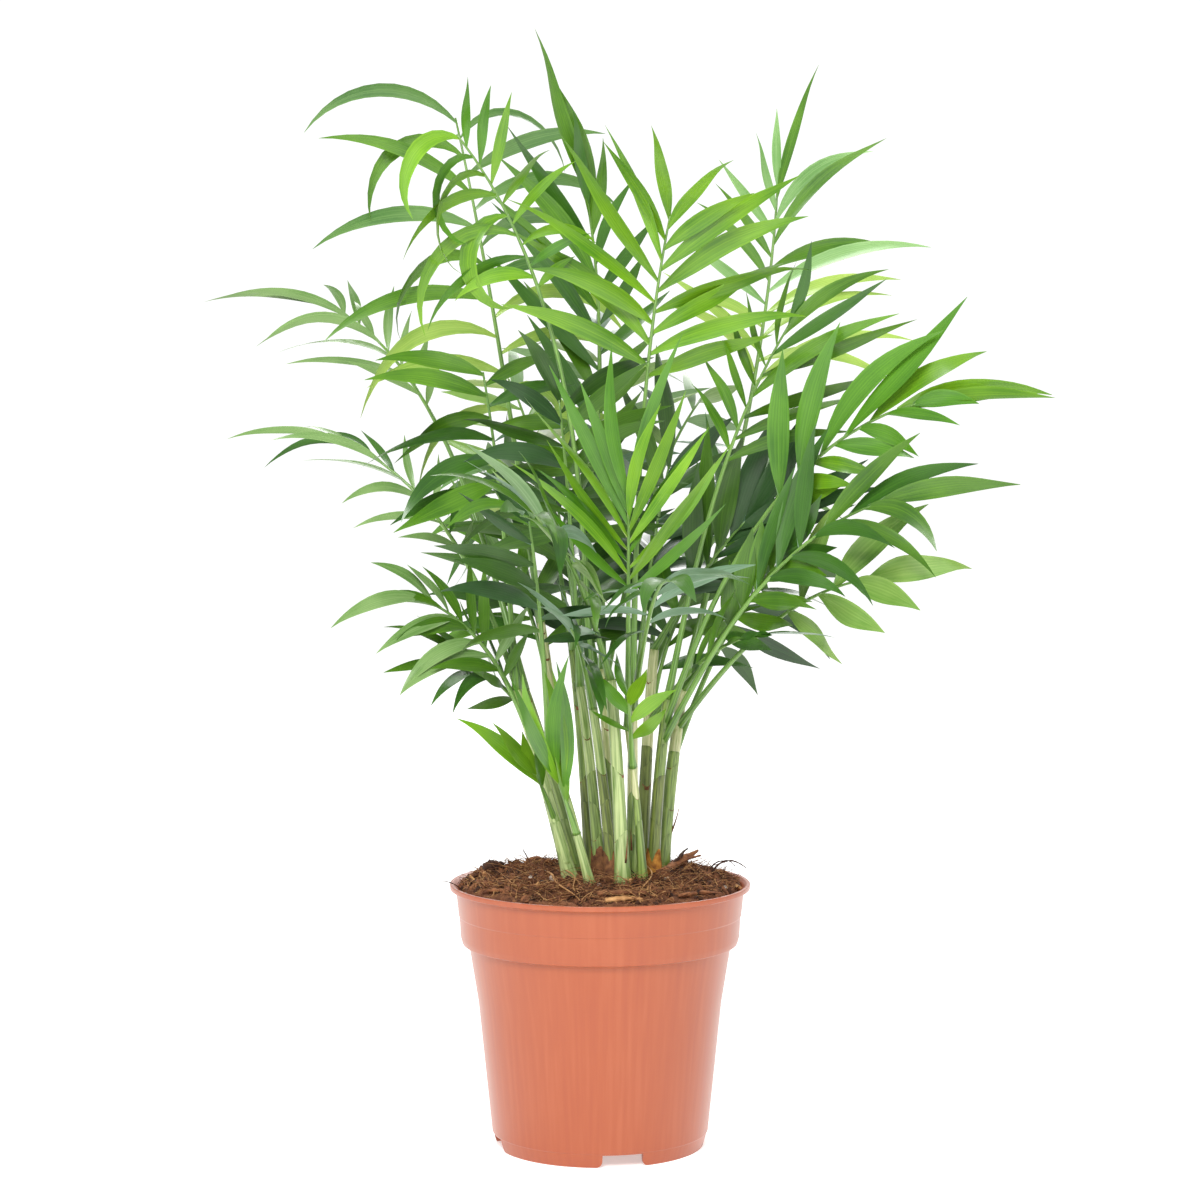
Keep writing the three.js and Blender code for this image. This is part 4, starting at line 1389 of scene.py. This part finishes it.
FRONDS = (
    FrondSpec(2, 1, (-59, 45, 413), 5, 0.385, 9, 78,
              7, (64, 44), (0.85, 1.0), (0.85, 0.85), (-65, 0), 0.14, 115, Tone.PALE, (0, 1)),
    FrondSpec(6, 1, (-54, -50, 398), 44, 0.7, 8, 56,
              6.2, (56, 34), (0.58, 1.05), (0.7, 0.95), (-80, 20), 0.1, 120, Tone.FRESH),
    FrondSpec(4, 1, (-6, 25, 383), -26, 0.45, 9, 64,
              7.5, (42, 3), (0.55, 1.0), (0.8, 1.1), (-80, 5), 0.1, 10, Tone.MATURE),
    FrondSpec(8, 1, (27, -32, 369), 22, 0.66, 8, 66,
              8.0, (54, 14), (1.05, 1.02), (0.85, 0.54), (-90, 15), 0.12, 32, Tone.FRESH, (0, 2)),
    FrondSpec(12, 1, (11, -42, 260), 2, 0.6, 8, 62,
              5.5, (40, 5), (1, 1), (0.8, 1), (-90, 5), 0.1, 6, Tone.FRESH),
    # the fourth green here is painted sheen
    FrondSpec(11, 1, (73, 50, 387), -16, 0.6, 9, 62,
              5.8, (52, 6), (1.08, 0.75), (0.95, 0.75), (-80, 0), 0.1, 60, Tone.PALE, (3, 0)),
    FrondSpec(10, 1, (74, -22, 328), 22, 0.62, 7, 58,
              6, (46, 10), (1.05, 0.6), (0.85, 0.9), (-90, 20), 0.1, 18, Tone.MATURE),
    # the fourth green here is painted sheen
    FrondSpec(1, 1, (-121, 108, 339), 58, 0.6, 8, 52,
              5.5, (38, 6), (0.55, 1.05), (0.6, 1.0), (-90, 40), 0.3, 58, Tone.MATURE, (3,)),
    FrondSpec(0, 1, (-46, -8, 309), 6, 0.55, 7, 60,
              8, (84, 64), (0.7, 1.0), (0.8, 0.9), (-60, 20), 0.1, 40, Tone.MATURE),
    # the fourth green here is painted sheen
    FrondSpec(0, 0.78, (-106, 10, 283), 54, 0.5, 7, 44,
              4.6, (34, 8), (0.6, 1.0), (0.6, 0.9), (-80, 50), 0.2, 50, Tone.MATURE, (3, 1)),
    FrondSpec(10, 0.84, (126, -45, 298), 58, 0.56, 7, 62,
              9.0, (34, 6), (0.55, 1.05), (0.9, 0.85), (-100, 20), 0.1, 34, Tone.FRESH, (0, 1)),
    FrondSpec(10, 0.75, (107, -45, 259), 42, 0.5, 6, 56,
              7.5, (36, 6), (0.8, 1.0), (0.8, 1.0), (-90, 30), 0.1, 45, Tone.MATURE, (1, 0)),
    # the fourth green here is painted sheen
    FrondSpec(11, 0.75, (105, -32, 229), 42, 0.64, 3, 48,
              10.5, (50, 8), (0.8, 0.95), (0.85, 1.0), (-90, 25), 0.1, 22, Tone.FRESH, (3,)),
    # the fourth green here is painted sheen
    FrondSpec(0, 0.7, (-68, -25, 220), 46, 0.4, 7, 44,
              6.5, (44, 10), (0.7, 1.0), (0.8, 1.0), (-90, 45), 0.2, 50, Tone.MATURE, (3, 0)),
    FrondSpec(7, 1, (-29, -95, 256), 52, 0.42, 7, 54,
              7.0, (60, 16), (1, 1), (0.7, 0.9), (-90, 50), 0.2, 48, Tone.MATURE),
    FrondSpec(11, 0.95, (73, -20, 238), 6, 0.4, 5, 34,
              8.5, (42, 14), (1, 1), (0.8, 0.8), (-90, 20), 0.1, 15, Tone.MATURE),
    FrondSpec(9, 1, (58, 5, 250), 12, 0.45, 5, 60,
              9.5, (40, 8), (1, 1), (0.8, 1), (-90, 10), 0.1, 10, Tone.DEEP),
    FrondSpec(5, 1, (-16, -15, 298), 8, 0.5, 7, 48,
              7.5, (66, 16), (1, 1), (0.8, 0.8), (-90, 20), 0.2, 50, Tone.DEEP),
    FrondSpec(3, 1, (-27, -48, 252), 14, 0.45, 6, 42,
              7.0, (62, 14), (1, 1), (0.8, 0.8), (-90, 30), 0.2, 40, Tone.DEEP),
    FrondSpec(1, 0.75, (-53, -20, 194), 40, 0.35, 5, 38,
              5.5, (46, 10), (1, 1.1), (0.8, 1), (-90, 55), 0.15, 36, Tone.MATURE),
    FrondSpec(9, 0.66, (63, -16, 206), 42, 0.45, 6, 38,
              7.0, (32, 8), (0.35, 1), (0.8, 1), (-90, 55), 0.1, 10, Tone.MATURE),
    FrondSpec(12, 0.75, (11, -33, 183), 3, 0.4, 3, 26,
              6.0, (45, 8), (1.1, 0.9), (0.8, 1), (-90, 10), 0.1, 12, Tone.FRESH),
    FrondSpec(0, 0.3, (-25, -24, 152), 4, 0.7, 2, 60,
              6.5, (16, 6), (0.6, 1.0), (1, 0.8), (-90, 10), 0.05, 10, Tone.FRESH),
    # the darker second green alone is painted shade under the crown
    FrondSpec(6, 0.9, (-11, -50, 211), 24, 0.4, 5, 36,
              7.5, (66, 14), (0.9, 1), (0.8, 0.9), (-90, 45), 0.1, 60, Tone.MATURE, (1,)),
    FrondSpec(3, 0.35, (-17, -30, 152), 3, 0.5, 4, 60,
              6, (14, 4), (1, 1), (0.8, 1), (-90, 5), 0.1, 5, Tone.FRESH),
    # the darker second green alone is painted shade under the crown
    FrondSpec(8, 0.9, (25, -112, 233), 42, 0.42, 6, 42,
              7.0, (60, 14), (1, 1), (0.8, 0.9), (-90, 45), 0.1, 52, Tone.MATURE, (1,)),
    FrondSpec(13, 1, (0, 102, 328), 30, 0.5, 7, 52,
              7.0, (60, 18), (1, 1), (0.8, 0.8), (90, 30), 0.2, 40, Tone.MATURE),
    FrondSpec(4, 0.85, (-39, 98, 307), 34, 0.5, 6, 50,
              7.0, (56, 18), (1, 1), (0.8, 0.8), (110, 30), 0.2, 40, Tone.FRESH),
    FrondSpec(13, 0.9, (43, 100, 298), 34, 0.5, 6, 50,
              7.0, (60, 18), (1, 1), (0.8, 0.8), (70, 30), 0.2, 40, Tone.MATURE),
    FrondSpec(9, 0.9, (73, 98, 264), 38, 0.5, 6, 46,
              7.0, (62, 18), (1, 1), (0.8, 0.8), (45, 40), 0.2, 40, Tone.MATURE),
    FrondSpec(2, 0.9, (-47, 95, 262), 36, 0.5, 6, 44,
              7.0, (62, 18), (1, 1), (0.8, 0.8), (135, 40), 0.2, 40, Tone.MATURE),
    FrondSpec(11, 0.6, (76, 75, 226), 38, 0.5, 5, 44,
              7.0, (62, 18), (1, 1), (0.8, 0.8), (20, 40), 0.2, 40, Tone.DEEP),
    FrondSpec(13, 0.75, (-17, 98, 238), 40, 0.5, 5, 42,
              7.0, (60, 18), (1, 1), (0.8, 0.8), (100, 45), 0.2, 44, Tone.DEEP),
    FrondSpec(9, 0.75, (26, 102, 236), 40, 0.5, 5, 42,
              7.0, (60, 18), (1, 1), (0.8, 0.8), (80, 45), 0.2, 44, Tone.DEEP),
    FrondSpec(5, 0.78, (-18, 35, 257), 20, 0.45, 6, 52,
              8, (58, 14), (1, 1), (0.8, 0.9), (-90, 30), 0.15, 40, Tone.DEEP),
    FrondSpec(8, 0.8, (28, 30, 271), 18, 0.5, 6, 52,
              8, (56, 14), (1, 1), (0.8, 0.9), (-90, 30), 0.15, 40, Tone.DEEP),
    FrondSpec(4, 0.8, (-4, 55, 223), 25, 0.4, 5, 44,
              8, (60, 16), (1, 1), (0.8, 0.9), (-90, 35), 0.15, 40, Tone.DEEP),
    FrondSpec(9, 0.5, (37, 30, 218), 30, 0.4, 5, 44,
              8, (60, 16), (1, 1), (0.8, 0.9), (-90, 35), 0.15, 40, Tone.MATURE),
    FrondSpec(2, 0.62, (-39, 42, 232), 30, 0.4, 5, 44,
              7.5, (60, 16), (1, 1), (0.8, 0.9), (-100, 35), 0.15, 40, Tone.MATURE),
)


def chance(frond: int, leaf: int, purpose: int) -> float:
    """Return repeatable chance from -1 to 1 for one leaflet of one frond."""
    mixed = math.sin(frond * 127.1 + leaf * 311.7 + purpose * 74.7) * 43758.5453
    return 2 * (mixed - math.floor(mixed)) - 1


@dataclass(frozen=True)
class LeafRule:
    """What all leaflets share: how they are spaced, how chance moves them, and their blade."""

    long_leaf: float = 55.0
    long_rings: tuple[float, ...] = (0.25, 0.55, 0.82)
    short_rings: tuple[float, ...] = (0.33, 0.74)
    pair_shift: float = 0.45
    last: float = 0.99
    peak: float = 0.4
    turn: float = 9.0
    lift: float = 0.14
    length: float = 0.16
    width: float = 0.14
    droop: float = 0.6
    roll: float = 34.0
    tries: int = 6
    try_turn: float = 5.0
    try_lift: float = 0.08
    probe: float = 0.4
    lowest: float = 118.0
    fold: float = 0.25
    keel: float = 0.35
    neck: float = 0.16
    narrowest: float = 0.02
    thickness: float = 0.16
    thinning: float = 0.6
    twist: float = 48.0
    sweep: float = 0.06
    fold_chance: float = 0.5
    fold_foot: float = 1.6
    fold_fall: float = 1.2
    fold_tuck: float = 0.6
    arch: float = 0.35
    ripple: float = 0.12
    ripples: float = 3.2
    shuffle: int = 60
    purposes: int = 5

    def size(self, along: float, ends: tuple[float, float]) -> float:
        """Return the share of the full reach along a frond, from its lowest leaflet to its tip."""
        first, last = ends
        end = first if along < self.peak else last
        away = 1 - along / self.peak if along < self.peak else (along - self.peak) / (1 - self.peak)
        return 1 + (end - 1) * away ** 1.5


def leaf_outline(share: float) -> float:
    """Return the share of the full width at a share of a leaflet's length."""
    return math.sin(math.pi * share ** 0.85) ** 0.95 * (1 - 0.25 * share ** 3) if share < 1 else 0.0


class Leaflet:
    """One leaflet of a frond: where it is rooted and how it arches over in an upright plane."""

    def __init__(self, frond: "Frond", number: int, attempt: int, rule: LeafRule) -> None:
        """Work the leaflet out from its frond.

        Args:
            frond: the frond that it stands on.
            number: its place in the row of leaflets, even numbers on the right.
            attempt: how many times it has been moved on from an obstacle.
            rule: what all leaflets share.
        """
        spec = frond.spec
        place = number // 2 + (number % 2) * rule.pair_shift
        along = place / (spec.pairs - 1 + rule.pair_shift)
        hand = 1 if number % 2 == 0 else -1
        share = spec.bare + (rule.last - spec.bare) * along

        def wander(purpose: int) -> float:
            """Return this leaflet's chance for one purpose."""
            return chance(frond.index, number, purpose + rule.purposes * attempt)

        forward = frond.limb.direction(share)
        normal = (frond.face - forward * frond.face.dot(forward)).normalized()
        across = forward.cross(normal)
        first, last = spec.spread
        swing = (rule.turn + rule.try_turn * attempt) * wander(1)
        turn = math.radians(first + (last - first) * along ** 2 + swing)
        lift = spec.lift + (rule.lift + rule.try_lift * attempt) * wander(2)
        course = forward * math.cos(turn) + across * (hand * math.sin(turn)) + normal * lift
        course.normalize()

        side_share = spec.hands[0] if hand > 0 else spec.hands[1]
        size = rule.size(along, spec.ends) * side_share
        self.rule = rule
        self.along = along
        self.greens = spec.greens
        self.root = frond.limb.point(share)
        self.length = spec.reach * size * (1 + rule.length * wander(3))
        self.width = spec.width * math.sqrt(size) * (1 + rule.width * wander(4))
        self.pitch = math.asin(course.z)
        arch = math.radians(spec.droop * (1 + rule.droop * wander(5)))
        self.droop = arch * math.cos(self.pitch)
        self.out = level_heading(course)
        self.side = UP.cross(self.out)
        rolled = Matrix.Rotation(math.radians(rule.roll * wander(4)), 3, course)
        self.across = rolled @ course.cross(normal).normalized()
        self.twist = math.radians(rule.twist) * wander(6)
        self.sweep = rule.sweep * wander(7)
        self.fold = rule.fold * (1 + rule.fold_chance * wander(8))
        self.wave = wander(9)
        self.luck = int(rule.shuffle * (1 + wander(10)))

    def point(self, share: float) -> Vector:
        """Return the point of the midrib at a share of the leaflet's length."""
        pitch = self.pitch - self.droop * share
        out = (math.sin(self.pitch) - math.sin(pitch)) / self.droop
        rise = (math.cos(pitch) - math.cos(self.pitch)) / self.droop
        return self.root + self.out * (self.length * out) + UP * (self.length * rise)

    def frame(self, share: float) -> tuple[Vector, Vector, Vector]:
        """Return the ways onward, across and up at a share of the leaflet's length."""
        pitch = self.pitch - self.droop * share
        onward = self.out * math.cos(pitch) + UP * math.sin(pitch)
        across = Matrix.Rotation(self.droop * share, 3, self.side) @ self.across
        return onward, across, across.cross(onward)

    def probe(self) -> list[list[Vector]]:
        """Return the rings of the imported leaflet's plain blade, a little grown."""
        rule = self.rule
        grown = rule.probe
        rings = [[self.root]]
        for share in rule.long_rings if self.length > rule.long_leaf else rule.short_rings:
            _, across, up = self.frame(share)
            half = self.width / 2 * leaf_outline(share)
            keel = self.point(share) - up * (rule.keel + grown)
            ridge = self.point(share) + up * (half * rule.fold + grown)
            rings.append([ridge + across * (half + grown), keel, ridge - across * (half + grown)])
        rings.append([self.point(1.0)])
        return rings

    def station(self, share: float) -> Station:
        """Return the place at a share of the fine blade, twisted and swept as it grows."""
        onward, across, _ = self.frame(share)
        across = Matrix.Rotation(self.twist * share ** 1.5, 3, onward) @ across
        up = across.cross(onward)
        bow = self.sweep * self.length * math.sin(math.pi * share)
        waves = math.sin(self.rule.ripples * math.pi * share)
        ripple = self.rule.ripple * self.width * self.wave * waves * share
        return Station(self.point(share) + across * bow + up * ripple, across, up)

    def section(self, flat: Vector, station: Station) -> Vector:
        """Place a point of the flat blade, folded along the midrib."""
        rule = self.rule
        share = flat.z
        neck = rule.neck * (1 - share) ** 2
        half = self.width / 2 * max(leaf_outline(share), neck, rule.narrowest)
        away = abs(flat.x)
        fold = self.fold * (rule.fold_foot - rule.fold_fall * share)
        rise = half * fold * away * (1 + rule.arch - rule.arch * away)
        thick = rule.thickness * flat.y * (1 - rule.thinning * share)
        return station.beside(half * flat.x * math.cos(fold * rule.fold_tuck), rise + thick)


class Frond:
    """A frond: its stalk and the leaflets that find room on it."""

    bare_steps = 3
    skin_sides = 3
    stalk_radius = 1.7
    tip_radius = 0.55
    slimness = 0.8
    clasp = 0.45
    clasp_fall = 14.0

    def __init__(self, spec: FrondSpec, index: int, cane: Cane) -> None:
        """Fit the stalk between its cane and its tip."""
        azimuth, elevation = (math.radians(angle) for angle in spec.facing)
        level = math.cos(elevation)
        self.spec = spec
        self.index = index
        self.limb = Limb(cane.limb.point(spec.start), Vector(spec.tip), spec.bend)
        self.face = Vector((level * math.cos(azimuth), level * math.sin(azimuth),
                            math.sin(elevation)))
        self.leaflets: list[Leaflet] = []

    def radius(self, share: float) -> float:
        """Return the stalk's radius at a share of its length."""
        return self.stalk_radius + (self.tip_radius - self.stalk_radius) * share

    def stalk_shares(self) -> list[float]:
        """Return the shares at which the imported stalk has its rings."""
        bare = self.spec.bare
        shares = [bare * k / self.bare_steps for k in range(self.bare_steps)]
        pairs = self.spec.pairs
        return shares + [bare + (1 - bare) * k / (pairs - 1) for k in range(pairs)]

    def obstacle(self) -> Obstacle:
        """Return the stalk as something that other fronds grow clear of."""
        return Obstacle(self, [self.limb.station(share).ring(self.radius(share), self.skin_sides)
                               for share in self.stalk_shares()])

    def dressed_radius(self, share: float) -> float:
        """Return the radius of the finer stalk, which swells where it clasps its cane."""
        clasp = self.clasp * math.exp(-self.clasp_fall * share)
        return self.slimness * self.radius(share) * (1 + clasp)

    def grow(self, rule: LeafRule, obstacles: list[Obstacle]) -> None:
        """Add each leaflet at the first attempt whose plain blade keeps clear of other fronds."""
        for number in range(2 * self.spec.pairs):
            for attempt in range(rule.tries):
                leaflet = Leaflet(self, number, attempt, rule)
                if leaflet.point(1.0).z <= rule.lowest:
                    continue
                taken = Obstacle(self, leaflet.probe())
                if not any(taken.meets(other) for other in obstacles):
                    self.leaflets.append(leaflet)
                    obstacles.append(taken)
                    break


@dataclass
class Crown:
    """All the fronds, grown one after another.

    Each leaflet's plain blade keeps clear of the canes and of the fronds before it. The finer
    blades are twisted and swept, so a few of them still cross.
    """

    clump: Clump
    rule: LeafRule = LeafRule()
    stalk_skin: Finish = StemSkin("stalk_green", "#476d28", "#7ba24d")
    fronds: list[Frond] = field(init=False)

    def __post_init__(self) -> None:
        """Fit the stalks, then grow every frond's leaflets."""
        canes = self.clump.canes
        self.fronds = [Frond(spec, k, canes[spec.cane]) for k, spec in enumerate(FRONDS)]
        obstacles = [cane.obstacle() for cane in canes]
        obstacles += [frond.obstacle() for frond in self.fronds]
        for frond in self.fronds:
            frond.grow(self.rule, obstacles)

    def stalks(self) -> Object:
        """Make the stalks, each a little swollen where it clasps its cane."""
        bm = bmesh.new()
        tube = tube_stock(8, 20)
        for frond in self.fronds:
            tube.lay(bm, frond.limb, round_section(frond.dressed_radius))
        return piece_from("frond_stalks", bm, [self.stalk_skin.material()])

    def leaves(self, tone: Tone) -> Object:
        """Make all the leaflets of one tone.

        Args:
            tone: the tone whose fronds are dressed.

        Returns:
            The piece that stands for those fronds.
        """
        bm = bmesh.new()
        blade = blade_stock(2, 12)
        kinds = len(tone.upper)
        fronds = [frond for frond in self.fronds if frond.spec.tone is tone]
        for leaflet in (leaf for frond in fronds for leaf in frond.leaflets):
            kind = tone.kind(leaflet)
            blade.lay(bm, leaflet, leaflet.section,
                      lambda middle: kind if middle.y > 0 else kinds + kind)
        materials = [skin.material() for skin in (*tone.upper, *tone.under)]
        nodes = [f"frond_{frond.index + 1}" for frond in fronds]
        return piece_from(f"leaves_{tone.word}", bm, materials, nodes)

    def build(self) -> None:
        """Make the stalks and the leaves of every tone."""
        self.stalks()
        for tone in Tone:
            self.leaves(tone)
        LOG.info("%d leaflets in all", sum(len(frond.leaflets) for frond in self.fronds))


# --- Studio -------------------------------------------------------------------------------------


@dataclass(frozen=True)
class Softbox:
    """One square softbox: where it stands, its size in metres, and its power."""

    name: str
    place: tuple[float, float, float]
    size: float
    power: float


@dataclass
class Studio:
    """Seamless white paper under big soft lights, with a long lens in front."""

    aim: tuple[float, float, float] = (0.0, 0.0, 0.24)
    camera_place: tuple[float, float, float] = (0.0, -1.2, 0.298)
    camera_tilt: float = 0.066
    lens: float = 90.7
    sensor: float = 36.0
    floor_size: float = 20.0
    room_light: float = 0.64
    wall_light: float = 1.08
    lights: tuple[Softbox, ...] = (
        Softbox("key", (-0.3, -1.5, 1.3), 0.7, 33.0),
        Softbox("fill", (1.2, -1.1, 0.6), 1.0, 3.5),
        Softbox("side", (-1.1, -0.4, 0.2), 0.5, 0.8),
        Softbox("back", (0.2, 1.3, 1.1), 1.0, 13.0),
    )

    def floor(self) -> None:
        """Lay the paper."""
        bm = bmesh.new()
        bmesh.ops.create_grid(bm, x_segments=1, y_segments=1, size=self.floor_size / 2)
        paper = add_object("floor", mesh_from("floor", bm))
        paper.data.materials.append(StudioPaper().material())

    def light(self) -> None:
        """Set up the softboxes and the even white surround."""
        for box in self.lights:
            lamp = bpy.data.lights.new(box.name, "AREA")
            lamp.shape = "SQUARE"
            lamp.size = box.size
            lamp.energy = box.power
            stand = add_object(box.name, lamp)
            stand.location = box.place
            way = Vector(self.aim) - Vector(box.place)
            stand.rotation_euler = way.to_track_quat("-Z", "Y").to_euler()
        world = bpy.data.worlds.new("studio")
        bpy.context.scene.world = world
        world.use_nodes = True
        world.node_tree.nodes.clear()
        tree = world.node_tree
        room, wall = (
            add_node(tree, "Background",
                     inputs={"Color": linear("#ffffff"), "Strength": strength}).outputs[0]
            for strength in (self.room_light, self.wall_light)
        )
        seen = add_node(tree, "LightPath").outputs["Is Camera Ray"]
        both = add_node(tree, "MixShader", inputs={0: seen, 1: room, 2: wall})
        add_node(tree, "OutputWorld", inputs={"Surface": both.outputs[0]})

    def camera(self) -> None:
        """Stand the camera level with the fronds, tilted a little down."""
        lens = bpy.data.cameras.new("camera")
        lens.lens = self.lens
        lens.sensor_width = self.sensor
        stand = add_object("camera", lens)
        stand.location = self.camera_place
        stand.rotation_euler = (math.pi / 2 - self.camera_tilt, 0.0, 0.0)
        bpy.context.scene.camera = stand
        bpy.context.scene.view_settings.view_transform = "Standard"

    def build(self) -> None:
        """Set up the whole studio."""
        self.floor()
        self.light()
        self.camera()


def main() -> None:
    """Build the palm from the ground up, then the studio."""
    logging.basicConfig(level=logging.INFO, format="%(message)s")
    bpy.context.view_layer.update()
    pot = NurseryPot()
    pot.build()
    compost = Compost(pot)
    compost.build()
    clump = Clump(compost.crown)
    clump.build()
    Crown(clump).build()
    Studio().build()


if __name__ == "__main__":
    main()
